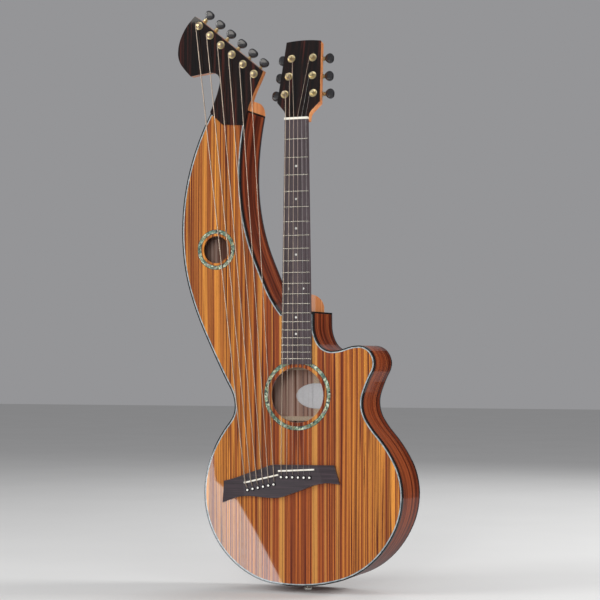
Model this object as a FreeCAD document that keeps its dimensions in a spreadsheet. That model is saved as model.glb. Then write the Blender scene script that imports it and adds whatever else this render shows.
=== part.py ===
"""A harp guitar: a six-string acoustic guitar with a hollow arm that carries six sub-bass strings.

X runs to the treble side, Y runs from the soundboard to the back, Z runs up the neck.
The origin is at the tail, where the end pin leaves the rim, half-way through the body's depth.
"""
import FreeCAD, Part
import math
import os
from FreeCAD import Placement, Rotation, Vector

DIMENSIONS = (
    ("half_depth", 58.0),
    ("back_taper_degrees", 1.6),
    ("back_arch_radius", 3600.0),
    ("back_arch_centre", -15.0),
    ("soundboard_thickness", 3.0),
    ("back_thickness", 3.0),
    ("side_thickness", 2.4),
    ("binding_width", 2.2),
    ("binding_height", 6.0),
    ("brace_clearance", 2.0),
    ("back_brace_height", 14.0),
    ("back_strip_thickness", 2.0),
    ("bridge_plate_thickness", 2.5),
    ("tail_block_length", 22.0),
    ("neck_block_length", 58.0),
    ("arm_block_length", 26.0),
    ("neck_joint_height", 491.0),
    ("arm_end_height", 861.0),
    ("end_strip_thickness", 3.0),
    ("sound_hole_radius", 50.0),
    ("sound_hole_height", 343.6),
    ("arm_hole_radius", 25.0),
    ("arm_hole_across", -159.0),
    ("arm_hole_height", 609.5),
    ("scale_length", 632.0),
    ("saddle_line", 210.0),
    ("fret_count", 20.0),
    ("nut_width", 44.5),
    ("nut_thickness", 4.0),
    ("nut_rise", 2.4),
    ("board_end_width", 58.2),
    ("board_end_height", 399.0),
    ("board_thickness", 6.0),
    ("board_radius", 406.0),
    ("fret_crown", 1.0),
    ("fret_width", 2.2),
    ("dot_radius", 2.2),
    ("dot_depth", 1.5),
    ("neck_thickness_nut", 14.5),
    ("neck_thickness_heel", 17.0),
    ("truss_rod_width", 6.0),
    ("truss_rod_depth", 8.5),
    ("neck_heel_rise", 31.0),
    ("harp_heel_rise", 20.0),
    ("head_tilt_degrees", 14.0),
    ("head_thickness", 14.0),
    ("head_crown", 2.5),
    ("veneer_thickness", 2.0),
    ("bridge_thickness", 8.4),
    ("bridge_tip_thickness", 3.6),
    ("saddle_width", 3.0),
    ("saddle_rise", 2.8),
    ("saddle_slot_depth", 5.0),
    ("pin_radius", 2.4),
    ("pin_head_radius", 3.6),
    ("pin_head_height", 3.0),
    ("post_radius", 3.0),
    ("post_rise", 8.5),
    ("bushing_radius", 7.6),
    ("bushing_height", 2.2),
    ("housing_depth", 11.0),
    ("worm_offset", 6.0),
    ("shaft_radius", 2.2),
    ("shaft_inner_end", 5.0),
    ("collar_radius", 4.3),
    ("collar_end", 14.5),
    ("button_start", 16.5),
    ("button_depth", 8.5),
    ("running_gap", 0.05),
    ("string_gap", 0.35),
    ("turn_gap", 0.45),
    ("end_pin_neck_radius", 4.6),
    ("end_pin_neck_length", 7.0),
    ("end_pin_knob_radius", 6.8),
    ("end_pin_knob_length", 5.0),
    ("end_pin_shank_radius", 4.0),
)
ALIASES = [alias for alias, _ in DIMENSIONS]

doc = FreeCAD.newDocument("harp_guitar")
sheet = doc.addObject("Spreadsheet::Sheet", "sizes")
for row, (alias, value) in enumerate(DIMENSIONS, start=1):
    sheet.set(f"A{row}", alias)
    sheet.set(f"B{row}", str(value))
    sheet.setAlias(f"B{row}", alias)
doc.recompute()


def dim(alias):
    """A driving dimension, in millimetres, degrees or as a count."""
    return float(sheet.get(alias))


def bound(words):
    """The sheet's expression for a sum in words, such as "binding_width + 2"."""
    return " ".join(f"sizes.{word}" if word in ALIASES else word for word in str(words).split())


def measure(words):
    """The same sum as a number."""
    total = 0.0
    sign = 1
    for word in str(words).split():
        if word in ("+", "-"):
            sign = 1 if word == "+" else -1
        else:
            total += sign * (dim(word) if word in ALIASES else float(word))
    return total


FRONT = -dim("half_depth")
TREBLE = Vector(1, 0, 0)
BACKWARD = Vector(0, 1, 0)
FORWARD = Vector(0, -1, 0)
UP = Vector(0, 0, 1)
FAR = 400.0

sub_parts = []


def name_part(feature, label):
    """Give a finished sub-part the name that its file carries."""
    feature.Label = label
    sub_parts.append(feature)
    return feature


# Curves: runs of tangent arcs through stations


def arc_or_line(start, tangent, end):
    """The arc that leaves start along tangent and ends at end, with its direction there."""
    chord = end - start
    along = Vector(chord).normalize()
    across = tangent - along * tangent.dot(along)
    if across.Length < 1e-6:
        return Part.LineSegment(start, end).toShape(), along
    swing = math.atan2(across.Length, tangent.dot(along))
    across.normalize()
    middle = (start + end) / 2 + across * (chord.Length / 2 * math.tan(swing / 2))
    leaving = along * math.cos(swing) - across * math.sin(swing)
    return Part.Arc(start, middle, end).toShape(), leaving


def biarc(start, tangent, end, end_tangent):
    """Two arcs that join start to end and keep both directions."""
    chord = end - start
    both = tangent + end_tangent
    spread = 2 * (1 - tangent.dot(end_tangent))
    if spread < 1e-9:
        reach = chord.dot(chord) / (2 * chord.dot(both))
    else:
        reach = (math.sqrt(chord.dot(both) ** 2 + spread * chord.dot(chord)) - chord.dot(both)) / spread
    joint = (start + end + (tangent - end_tangent) * reach) / 2
    first, middle_tangent = arc_or_line(start, tangent, joint)
    second, _ = arc_or_line(joint, middle_tangent, end)
    return [first, second]


def front_point(across, height):
    """A point on the plane of the soundboard's face."""
    return Vector(across, FRONT, height)


def heading(degrees):
    """A direction in that plane, turned from the treble side towards the neck."""
    return Vector(math.cos(math.radians(degrees)), 0, math.sin(math.radians(degrees)))


def tangent_run(stations):
    """Edges through stations of (across, height, heading), smooth from one to the next."""
    edges = []
    for here, there in zip(stations, stations[1:]):
        edges += biarc(front_point(*here[:2]), heading(here[2]), front_point(*there[:2]), heading(there[2]))
    return edges


def straight(here, there):
    return Part.LineSegment(front_point(*here[:2]), front_point(*there[:2])).toShape()


def outline(name, *runs):
    """A closed wire: each run of stations is smooth, and straight edges join one run to the next."""
    edges = []
    for run, following in zip(runs, runs[1:] + runs[:1]):
        edges += tangent_run(run)
        if front_point(*run[-1][:2]).distanceToPoint(front_point(*following[0][:2])) > 1e-6:
            edges.append(straight(run[-1], following[0]))
    return shaped(name, Part.Wire(edges))


# Features: thin wrappers that bind sizes to the sheet


def shaped(name, shape):
    """A feature whose shape is worked out here."""
    feature = doc.addObject("Part::Feature", name)
    feature.Shape = shape
    return feature


def inset(name, source, distance):
    """The outline moved inward by a distance."""
    feature = doc.addObject("Part::Offset2D", name)
    feature.Source = source
    feature.Join = "Tangent"
    feature.setExpression("Value", f"-({bound(distance)})")
    return feature


def extrude(name, profile, begin, end, direction=BACKWARD):
    """A solid from begin to end along a direction, both measured from the profile."""
    feature = doc.addObject("Part::Extrusion", name)
    feature.Base = profile
    feature.DirMode = "Custom"
    feature.Dir = direction
    feature.Solid = True
    feature.setExpression("LengthFwd", bound(end))
    feature.setExpression("LengthRev", f"-({bound(begin)})")
    return feature


def fuse(name, *shapes):
    feature = doc.addObject("Part::MultiFuse", name)
    feature.Shapes = list(shapes)
    return feature


def cut(name, base, *tools):
    feature = doc.addObject("Part::Cut", name)
    feature.Base = base
    feature.Tool = tools[0] if len(tools) == 1 else fuse(name + "_tools", *tools)
    return feature


def common(name, *shapes):
    feature = doc.addObject("Part::MultiCommon", name)
    feature.Shapes = list(shapes)
    return feature


def group(name, *shapes):
    feature = doc.addObject("Part::Compound", name)
    feature.Links = list(shapes)
    return feature


def box(name, low, high):
    """A plain block between two corners."""
    feature = doc.addObject("Part::Box", name)
    feature.Length = high[0] - low[0]
    feature.Width = high[1] - low[1]
    feature.Height = high[2] - low[2]
    feature.Placement = Placement(Vector(*low), Rotation())
    return feature


def rod(name, radius, length, base, direction):
    """A round bar from a base point along a direction."""
    feature = doc.addObject("Part::Cylinder", name)
    feature.setExpression("Radius", bound(radius))
    feature.setExpression("Height", bound(length))
    feature.Placement = Placement(base, Rotation(UP, direction))
    return feature


def prism(name, radius, length, base, direction, sides=8):
    """A bar of a regular section whose corners lie on the radius, for small pieces that repeat."""
    feature = doc.addObject("Part::Prism", name)
    feature.Polygon = sides
    feature.setExpression("Circumradius", bound(radius))
    feature.setExpression("Height", bound(length))
    feature.Placement = Placement(base, Rotation(UP, direction))
    return feature


def placed(name, master, place):
    """The master piece moved to its place."""
    feature = group(name, master)
    feature.Placement = place
    return feature


def copies(name, master, places):
    """The same piece at several places, as separate solids of one sub-part."""
    return group(name, *[placed(f"{name}_{number}", master, place) for number, place in enumerate(places, start=1)])


# The body's outline, seen from the front

TAIL = (-3, 0, 180)
BASS_OUTLINE = (
    TAIL,
    (-86, 14.5, 155),
    (-182, 164, 90),
    (-148.5, 271, 57),
    (-121.8, 321.5, 90),
    (-148, 387, 117),
    (-211.5, 533, 107),
    (-227.4, 646, 90),
    (-170.5, 861, 61),
)
ARM_OUTLINE = (
    (-98.5, 861, -102),
    (-111.6, 742, -90),
    (-82.5, 591, -68),
    (-31, 491, -51),
)
TREBLE_OUTLINE = (
    (31, 491, -90),
    (31, 470, -90),
    (66, 423.2, 0),
    (117, 432.7, 0),
    (147, 401, -90),
    (134.2, 367.3, -113),
    (123.5, 329.4, -90),
    (151, 273.5, -48),
    (198.4, 166, -90),
    (150, 54, -134),
    TAIL,
)
ARM_SEAM = -135.0
WAIST = 400.0
BACK_BEGIN = "60"
BACK_END = "200"

body_outline = outline("body_outline", BASS_OUTLINE, ARM_OUTLINE, TREBLE_OUTLINE)
inside_binding = inset("inside_binding", body_outline, "binding_width")
inside_side = inset("inside_side", body_outline, "side_thickness")
brace_limit = inset("brace_limit", body_outline, "side_thickness + brace_clearance")


def arch(name, depth):
    """Everything in front of the arched, tapering back, less a depth."""
    taper = math.radians(dim("back_taper_degrees"))
    axis = Vector(0, -math.sin(taper), math.cos(taper))
    ridge = Vector(dim("back_arch_centre"), dim("half_depth") - dim("back_arch_radius"), 0)
    return rod(name, f"back_arch_radius - {bare(depth)}", "1200", ridge - axis * 150, axis)


def bare(words):
    """A sum with its signs turned, for taking it away."""
    return str(words).replace("+", "-")


back_face = arch("back_face", "0")
back_inside = arch("back_inside", "back_thickness")


def back_surface(height, across=0.0):
    """The depth at which the back's outer face lies."""
    taper = math.radians(dim("back_taper_degrees"))
    sag = (across - dim("back_arch_centre")) ** 2 / (2 * dim("back_arch_radius"))
    return dim("half_depth") - height * math.tan(taper) - sag


def band(name, outer, inner, begin, end):
    """The strip between two outlines."""
    return cut(name, extrude(name + "_outer", outer, begin, end), extrude(name + "_inner", inner, begin, end))


# The soundboard, the bindings, the back and the sides


def into_soundboard(name, radius, across, height):
    """A round hole that goes back from the soundboard's face."""
    return rod(name, radius, "soundboard_thickness", front_point(across, height), BACKWARD)


def make_soundboard():
    """A thin plate inside the binding, with the main hole and the arm's small one."""
    plate = extrude("soundboard_plate", inside_binding, "0", "soundboard_thickness")
    main = into_soundboard("main_hole", "sound_hole_radius", 0, dim("sound_hole_height"))
    arm = into_soundboard("arm_hole", "arm_hole_radius", dim("arm_hole_across"), dim("arm_hole_height"))
    return name_part(cut("soundboard_cut", plate, main, arm), "soundboard")


def make_binding():
    """Black binding let into the rim's front edge."""
    return name_part(band("binding_band", body_outline, inside_binding, "0", "binding_height"), "top_binding")


def make_back_plate():
    slab = extrude("back_slab", body_outline, BACK_BEGIN, BACK_END)
    return name_part(cut("back_shell", common("back_kept", slab, back_face), back_inside), "back_plate")


def make_sides(pin_hole):
    """Three bent sides, with seams at the tail, at the neck joint and at the arm's end."""
    deep = band("side_band", body_outline, inside_side, "binding_height", BACK_END)
    rim = common("rim", deep, back_inside)
    low_bass = box("low_bass", (-FAR, -FAR, -FAR), (TAIL[0], FAR, WAIST))
    high_bass = box("high_bass", (-FAR, -FAR, WAIST), (ARM_SEAM, FAR, 3 * FAR))
    low_treble = box("low_treble", (TAIL[0], -FAR, -FAR), (FAR, FAR, WAIST))
    high_treble = box("high_treble", (0, -FAR, WAIST), (FAR, FAR, 3 * FAR))
    arm_region = box("arm_region", (ARM_SEAM, -FAR, WAIST), (0, FAR, 3 * FAR))
    bass = common("bass_rim", rim, fuse("bass_region", low_bass, high_bass))
    treble = common("treble_rim", rim, fuse("treble_region", low_treble, high_treble))
    name_part(cut("bass_side_bored", bass, pin_hole), "bass_side")
    name_part(cut("treble_side_bored", treble, pin_hole), "treble_side")
    name_part(common("arm_rim", rim, arm_region), "inner_side")


# Inside the body


def make_blocks(pin_hole):
    """Mahogany blocks at the tail, the neck joint and the arm's end, shaped by the rim round them."""
    slab = extrude("block_slab", inside_side, "soundboard_thickness", BACK_END)
    core = common("block_core", slab, back_inside)
    joint = dim("neck_joint_height")
    end = dim("arm_end_height")
    tail_top = dim("side_thickness") + dim("tail_block_length")
    tail = box("tail_space", (-34, -FAR, -10), (34, FAR, tail_top))
    neck = box("neck_space", (-48, -FAR, joint - dim("neck_block_length")), (40, FAR, joint))
    arm = box("arm_space", (-FAR, -FAR, end - dim("arm_block_length")), (0, FAR, end))
    name_part(cut("tail_block_cut", common("tail_block_shape", core, tail), pin_hole), "tail_block")
    name_part(common("neck_block_shape", core, neck), "neck_block")
    name_part(common("arm_block_shape", core, arm), "arm_block")


def make_end_strips():
    """Thin black strips that cap the rim under the heel and under the harp head."""
    strips = []
    for name, foot, low, high in (
        ("neck_strip", "neck_joint_height", ARM_OUTLINE[-1][0], TREBLE_OUTLINE[0][0]),
        ("arm_strip", "arm_end_height", BASS_OUTLINE[-1][0], ARM_OUTLINE[0][0]),
    ):
        top = dim(foot) + dim("end_strip_thickness")
        block = box(name + "_block", (low, FRONT, dim(foot)), (high, FAR, top))
        strips.append(common(name, block, back_face))
    return name_part(group("strip_pair", *strips), "end_strips")


BAR_WIDTH = 8.0
TOP_BRACES = (
    ((-196, 105.1), (127.1, 373.6), 9, 5),
    ((196, 105.1), (-139.1, 383.6), 9, 5),
    ((-78, 166), (44, 92), 6, 4),
    ((-38, 106), (30, 52), 6, 4),
    ((-200, 416), (180, 416), 10, 4),
    ((-240, 545), (0, 545), 7, 4),
    ((-240, 672), (0, 672), 7, 4),
    ((-240, 765), (0, 765), 7, 4),
)
BRIDGE_PLATE = ((-112, 150), (62, 168), (62, 206), (-112, 192))


def top_bar(here, there, rise, peak):
    """A spruce brace between two points under the soundboard: upright to a shoulder, then a ridge."""
    floor = FRONT + dim("soundboard_thickness")
    start = Vector(here[0], floor, here[1])
    run = Vector(there[0], floor, there[1]) - start
    side = Vector(run).normalize().cross(BACKWARD) * (BAR_WIDTH / 2)
    corners = [
        start + side,
        start + side + BACKWARD * rise,
        start + BACKWARD * (rise + peak),
        start - side + BACKWARD * rise,
        start - side,
    ]
    return Part.Face(Part.makePolygon(corners + corners[:1])).extrude(run)


def make_top_braces():
    """An X below the hole, tone bars, cross bars and the bridge plate, glued into one lattice."""
    bars = [top_bar(*brace) for brace in TOP_BRACES]
    floor = FRONT + dim("soundboard_thickness")
    corners = [Vector(across, floor, height) for across, height in BRIDGE_PLATE]
    plate = Part.Face(Part.makePolygon(corners + corners[:1])).extrude(
        BACKWARD * dim("bridge_plate_thickness")
    )
    lattice = shaped("brace_lattice", bars[0].multiFuse(bars[1:] + [plate]).removeSplitter())
    room = extrude("brace_room", brace_limit, "0", BACK_END)
    return name_part(common("brace_trimmed", lattice, room), "top_braces")


BACK_BRACE_HEIGHTS = (92, 195, 298, 392, 545, 672, 765)
BACK_STRIP_HALF_WIDTH = 5.5


def make_back_details():
    """Ladder braces that follow the arch, and the centre strip between them."""
    half = BAR_WIDTH / 2
    rows = [
        box(f"back_brace_row_{height}", (-FAR, -20, height - half), (FAR, FAR, height + half))
        for height in BACK_BRACE_HEIGHTS
    ]
    room = extrude("back_brace_room", brace_limit, BACK_BEGIN, BACK_END)
    ladder = common("ladder", group("ladder_rows", *rows), room, back_inside)
    brace_top = arch("brace_top", "back_thickness + back_brace_height")
    braces = name_part(cut("back_brace_cut", ladder, brace_top), "back_braces")

    half = BACK_STRIP_HALF_WIDTH
    strip_space = box("strip_space", (-half, -20, 26), (half, FAR, 428))
    strip_top = arch("strip_top", "back_thickness + back_strip_thickness")
    strip = cut("strip_shell", common("strip_kept", strip_space, back_inside), strip_top)
    name_part(cut("strip_cut", strip, braces), "back_strip")


# The neck with its heel and headstock

TILT = math.radians(dim("head_tilt_degrees"))
NUT_LINE = dim("saddle_line") + dim("scale_length")
HEAD_BASE = NUT_LINE + dim("nut_thickness")
BOARD_FACE = FRONT - dim("board_thickness")
VENEER_FACE = FRONT - dim("veneer_thickness")
NECK_FOOT = dim("neck_joint_height") + dim("end_strip_thickness")
HARP_FOOT = dim("arm_end_height") + dim("end_strip_thickness")
HEAD_UP = Vector(0, math.sin(TILT), math.cos(TILT))
HEAD_OUT = Vector(0, -math.cos(TILT), math.sin(TILT))
HEAD_FLARE = ((-4.0, 22.4), (7.0, 22.8), (12.0, 25.0), (30.0, 41.0), (148.5, 33.3))
VENEER_FLARE = ((0.6, 22.4),) + HEAD_FLARE[1:]


def fret_height(number):
    return dim("saddle_line") + dim("scale_length") * 2 ** (-number / 12)


def board_width(height):
    """The fretboard's width, which grows evenly from the nut to its end."""
    share = (NUT_LINE - height) / (NUT_LINE - dim("board_end_height"))
    return dim("nut_width") + share * (dim("board_end_width") - dim("nut_width"))


def head_point(across, along, out=0.0):
    """A point on the headstock: across it, up along it, and out from the veneer's face."""
    return Vector(across, VENEER_FACE, HEAD_BASE) + HEAD_UP * along + HEAD_OUT * out


def round_back(width, depth):
    """Radius and centre of the arc behind a flat of the given width and depth."""
    radius = (width**2 / 4 + depth**2) / (2 * depth)
    return radius, FRONT + depth - radius


def make_shaft():
    """The neck's shaft: flat under the board, a cone behind, tapering from the heel to the nut."""
    low_width, high_width = board_width(NECK_FOOT), board_width(HEAD_BASE)
    low_radius, low_centre = round_back(low_width, dim("neck_thickness_heel"))
    high_radius, high_centre = round_back(high_width, dim("neck_thickness_nut"))
    foot = Vector(0, low_centre, NECK_FOOT)
    run = Vector(0, high_centre, HEAD_BASE) - foot
    axis = Vector(run).normalize()
    over = 20.0
    growth = (high_radius - low_radius) / run.Length
    cone = doc.addObject("Part::Cone", "neck_cone")
    cone.Radius1 = low_radius - growth * over
    cone.Radius2 = high_radius + growth * over
    cone.Height = run.Length + 2 * over
    cone.Placement = Placement(foot - axis * over, Rotation(UP, axis))
    corners = [(low_width / 2, NECK_FOOT), (high_width / 2, HEAD_BASE)]
    corners += [(-high_width / 2, HEAD_BASE), (-low_width / 2, NECK_FOOT)]
    points = [front_point(*corner) for corner in corners]
    plan = shaped("neck_plan", Part.makePolygon(points + points[:1]))
    return common("neck_shaft", cone, extrude("neck_prism", plan, "0", "30"))


HEEL_START = 2.0
HEEL_INSET = 0.5
NECK_HEEL_WALLS = ((26.0, HEEL_START), (20.5, 40.0))
NECK_HEEL_END = (19.0, 9.0)
NECK_HEEL_REACH = 24.0
NECK_HEEL_LEAN = 30.0


def heel_block(name, foot, low, high, top, lean):
    """A heel's side profile across its width: flat on top, then two arcs that lean in from the back."""
    near, (reach, rise) = FRONT + HEEL_START, top
    back = Vector(low, back_surface(foot, low) - HEEL_INSET, foot)
    flat = Vector(low, FRONT + reach, foot + rise)
    inner, crest = Vector(low, near, foot), Vector(low, near, foot + rise)
    rising = Vector(0, -math.sin(math.radians(lean)), math.cos(math.radians(lean)))
    edges = [Part.LineSegment(inner, back).toShape()]
    edges += biarc(back, rising, flat, FORWARD)
    edges += [Part.LineSegment(flat, crest).toShape(), Part.LineSegment(crest, inner).toShape()]
    return extrude(name, shaped(name + "_profile", Part.Wire(edges)), "0", high - low, TREBLE)


def make_neck_heel():
    """The neck's heel: it narrows towards the back, where it is rounded."""
    half, rise = NECK_HEEL_WALLS[0][0], dim("neck_heel_rise")
    side = heel_block("neck_heel_side", NECK_FOOT, -half, half, (NECK_HEEL_REACH, rise), NECK_HEEL_LEAN)
    deep = back_surface(NECK_FOOT, half) - HEEL_INSET
    right = [(across, FRONT + depth) for across, depth in NECK_HEEL_WALLS]
    right.append((NECK_HEEL_END[0], deep - NECK_HEEL_END[1]))
    left = [(-across, depth) for across, depth in reversed(right)]
    points = [Vector(across, depth, NECK_FOOT) for across, depth in left + right]
    edges = [Part.LineSegment(here, there).toShape() for here, there in zip(points, points[1:])]
    edges.append(Part.Arc(points[-1], Vector(0, deep, NECK_FOOT), points[0]).toShape())
    column = extrude("neck_heel_column", shaped("neck_heel_plan", Part.Wire(edges)), "0", 2 * rise, UP)
    return common("neck_heel", side, column)


def head_wire(name, flare, out):
    """The headstock's outline: it flares above the nut and narrows a little to a crowned top."""
    right = [head_point(half, along, out) for along, half in flare]
    left = [head_point(-half, along, out) for along, half in reversed(flare)]
    crown = head_point(0, flare[-1][0] + dim("head_crown"), out)
    points = left + right
    edges = [Part.LineSegment(here, there).toShape() for here, there in zip(points, points[1:])]
    edges.append(Part.Arc(points[-1], crown, points[0]).toShape())
    return shaped(name, Part.Wire(edges))


def bore_through(name, places):
    """Clear passages for the string posts, wider than the posts."""
    bores = []
    for number, place in enumerate(places, start=1):
        out = place.Rotation.multVec(UP)
        bores.append(prism(f"{name}_{number}", "post_radius + 2", "60", place.Base + out * 20, out * -1))
    return group(name, *bores)


def make_truss_rod():
    """A steel bar let into the neck under the fretboard."""
    half = dim("truss_rod_width") / 2
    low = (-half, FRONT, NECK_FOOT + 3)
    high = (half, FRONT + dim("truss_rod_depth"), NUT_LINE - 4)
    return name_part(box("truss_bar", low, high), "truss_rod")


def make_neck(truss_rod, places):
    """One piece of mahogany: shaft, heel and tilted headstock."""
    back = -dim("veneer_thickness")
    plan = head_wire("head_outline", HEAD_FLARE, back)
    head = extrude("head_slab", plan, "0", "head_thickness", HEAD_OUT * -1)
    blank = fuse("neck_blank", make_shaft(), make_neck_heel(), head)
    over = box("over_neck", (-60, FRONT - 30, HEAD_BASE - 60), (60, FRONT, HEAD_BASE))
    bores = bore_through("neck_bore", places)
    return name_part(cut("neck_cut", blank, over, truss_rod, bores), "neck")


# The harp head, a leaf-shaped plate on the arm's end

LEAF_BASS_EDGE = (
    (-170.5, HARP_FOOT, 64),
    (-153.5, 908, 76),
    (-151, 922, 96),
    (-162, 935.5, 165),
    (-192, 934.5, 184),
    (-210, 932, 188),
)
LEAF_CURVE = (
    (-210, 932, 136),
    (-235.7, 976, 90),
    (-220, 1023, 56),
    (-201.5, 1043.5, 42),
)
LEAF_TIP = ((-191.5, 1036.5, 0),)
LEAF_CORNER = ((-66.5, 934.5, 0),)
LEAF_TREBLE_EDGE = (
    (-69, 928, -114),
    (-88, 887, -110),
    (-96.5, HARP_FOOT, -100),
)
HARP_HEEL_REACH = 58.0
VENEER_FOOT = (
    (-103.5, 836.5, 0),
    (-146, 839.5, 0),
    (-169.5, 861, 0),
)


def make_harp_head(places):
    """A mahogany plate with a rounded heel that stands on the arm's end."""
    leaf = outline("leaf", LEAF_BASS_EDGE, LEAF_CURVE, LEAF_TIP, LEAF_CORNER, LEAF_TREBLE_EDGE)
    plate = extrude("leaf_plate", leaf, "0", "head_thickness")
    low, high = LEAF_BASS_EDGE[0][0], LEAF_TREBLE_EDGE[-1][0]
    block = heel_block("harp_heel_block", HARP_FOOT, low, high, (HARP_HEEL_REACH, dim("harp_heel_rise")), 0)
    heel = common("harp_heel", block, extrude("leaf_column", leaf, "0", "half_depth + half_depth"))
    bores = bore_through("harp_bore", places)
    return name_part(cut("harp_head_cut", fuse("harp_blank", plate, heel), bores), "harp_head")


def make_headplates(neck_places, harp_places):
    """Dark veneers on both heads; the harp one laps over the end of the soundboard."""
    plan = head_wire("veneer_outline", VENEER_FLARE, 0)
    veneer = extrude("head_veneer", plan, "0", "veneer_thickness", HEAD_OUT * -1)
    feet = [(corner,) for corner in VENEER_FOOT]
    leaf = outline(
        "leaf_veneer_outline", LEAF_BASS_EDGE, LEAF_CURVE, LEAF_TIP, LEAF_CORNER, LEAF_TREBLE_EDGE, *feet
    )
    leaf_veneer = extrude("leaf_veneer", leaf, "0", "veneer_thickness", FORWARD)
    bores = bore_through("veneer_bore", neck_places + harp_places)
    return name_part(cut("headplate_cut", group("veneer_pair", veneer, leaf_veneer), bores), "headplates")


# The fretboard, its frets and dots, and the nut


def round_board(name, radius):
    """The cylinder whose front is the fretboard's cambered face."""
    centre = Vector(0, BOARD_FACE + dim("board_radius"), dim("board_end_height") - 20)
    return rod(name, radius, "600", centre, UP)


def board_blank(name):
    """A tapering block under the strings, from the board's end to the nut."""
    ends = ((dim("board_end_height"), dim("board_end_width") / 2), (NUT_LINE, dim("nut_width") / 2))
    right = [front_point(half, height) for height, half in ends]
    left = [front_point(-half, height) for height, half in reversed(ends)]
    plan = shaped(name + "_outline", Part.makePolygon(right + left + right[:1]))
    return extrude(name, plan, "0", "12", FORWARD)


SINGLE_DOTS = (3, 5, 7, 9, 15, 17)
DOUBLE_DOTS = (12,)
DOUBLE_DOT_ACROSS = 13.7


def make_dots():
    """Pearl dots let into the board between its frets."""
    spots = [(0.0, number) for number in SINGLE_DOTS]
    spots += [(side * DOUBLE_DOT_ACROSS, number) for number in DOUBLE_DOTS for side in (-1, 1)]
    dots = []
    for across, number in spots:
        height = (fret_height(number) + fret_height(number - 1)) / 2
        face = BOARD_FACE + across**2 / (2 * dim("board_radius"))
        dots.append(prism(f"dot_{len(dots)}", "dot_radius", "dot_depth", Vector(across, face, height), BACKWARD))
    return name_part(group("dot_group", *dots), "fret_dots")


def make_fretboard(dots):
    board = common("board_faced", board_blank("board"), round_board("board_face", "board_radius"))
    return name_part(cut("board_cut", board, dots), "fretboard")


FRET_END = 0.3


def make_frets():
    """Twenty crowned wires that follow the board's camber."""
    thick = dim("fret_width") / 2
    rows = []
    for number in range(1, int(dim("fret_count")) + 1):
        height = fret_height(number)
        half = board_width(height) / 2 - FRET_END
        rows.append(box(f"fret_row_{number}", (-half, FRONT - 12, height - thick), (half, FRONT, height + thick)))
    crown = round_board("fret_crowns", "board_radius + fret_crown")
    crowned = common("frets_crowned", group("fret_rows", *rows), crown)
    return name_part(cut("frets_cut", crowned, round_board("fret_floor", "board_radius")), "frets")


NUT_SLOT_MARGIN = 0.1


def make_nut(crossings):
    """A bone bar behind the board, with an open slot for each string."""
    half = dim("nut_width") / 2
    blank = box("nut_blank", (-half, BOARD_FACE - dim("nut_rise"), NUT_LINE), (half, FRONT, HEAD_BASE))
    slots = []
    for point, gauge in crossings:
        wide = gauge / 2 + NUT_SLOT_MARGIN
        low = (point.x - wide, FRONT - 20, NUT_LINE - 5)
        high = (point.x + wide, point.y + wide, HEAD_BASE + 5)
        slots.append(box(f"nut_slot_{len(slots)}", low, high))
    return name_part(cut("nut_cut", blank, group("nut_slots", *slots)), "nut")


# The bridge with its two saddles

BRIDGE_BASS_WING = (
    (-144, 147, 22),
    (-97, 160.2, 2),
    (-45, 157.8, -1),
    (0, 169.3, 20),
    (53, 186.4, 8),
    (82, 185, -5),
)
BRIDGE_TOP = ((72, 218.6, 0),)
BRIDGE_SHOULDER = (
    (-38, 217.8, 180),
    (-76.8, 206.9, 197),
    (-110.6, 195.1, 199),
    (-141, 186.7, 190),
)
BASS_CREASE = ((-101, 140), (-101, 225))
TREBLE_CREASE = ((53.5, 180), (40, 222))
WING_RUN = 44.0
MAIN_SADDLE = ((-33, 206.7), (35.8, 210.7))
BASS_SADDLE = ((-99.2, 184.2), (-33, 199.8))
SADDLE_CROWN = 0.6
PIN_SIDES = 6


def wing_wedge(name, crease, outward):
    """What is planed off a wing: nothing at the crease, and more towards the tip."""
    start, end = (Vector(across, FRONT - dim("bridge_thickness"), height) for across, height in crease)
    out = Vector(outward, 0, 0)
    drop = dim("bridge_thickness") - dim("bridge_tip_thickness")
    beyond = start + out * (2 * WING_RUN)
    corners = [start, beyond + BACKWARD * (2 * drop), beyond + FORWARD * 5, start + FORWARD * 5]
    return shaped(name, Part.Face(Part.makePolygon(corners + corners[:1])).extrude(end - start))


def along_saddle(ends, across):
    """The point on a saddle's line below a string."""
    (low_x, low_z), (high_x, high_z) = ends
    return low_z + (across - low_x) * (high_z - low_z) / (high_x - low_x)


def saddle_bar(name, ends, floor, shoulder, crown):
    """A bone bar with a rounded top; with no crown it is the shape of its slot."""
    start, end = (Vector(across, 0, height) for across, height in ends)
    run = end - start
    side = Vector(run).normalize().cross(BACKWARD) * (dim("saddle_width") / 2)
    low_left, low_right = start + side + BACKWARD * floor, start - side + BACKWARD * floor
    top_left, top_right = start + side + BACKWARD * shoulder, start - side + BACKWARD * shoulder
    edges = [Part.LineSegment(low_left, low_right).toShape(), Part.LineSegment(low_right, top_right).toShape()]
    if crown:
        edges.append(Part.Arc(top_right, start + BACKWARD * (shoulder - crown), top_left).toShape())
    else:
        edges.append(Part.LineSegment(top_right, top_left).toShape())
    edges.append(Part.LineSegment(top_left, low_left).toShape())
    return shaped(name, Part.Face(Part.Wire(edges)).extrude(run))


SADDLE_FLOOR = FRONT - dim("bridge_thickness") + dim("saddle_slot_depth")
SADDLE_TOP = FRONT - dim("bridge_thickness") - dim("saddle_rise")


def make_saddles():
    shoulder = SADDLE_TOP + SADDLE_CROWN
    bars = [
        saddle_bar("main_saddle", MAIN_SADDLE, SADDLE_FLOOR, shoulder, SADDLE_CROWN),
        saddle_bar("bass_saddle", BASS_SADDLE, SADDLE_FLOOR, shoulder, SADDLE_CROWN),
    ]
    return name_part(group("saddle_pair", *bars), "saddles")


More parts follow.
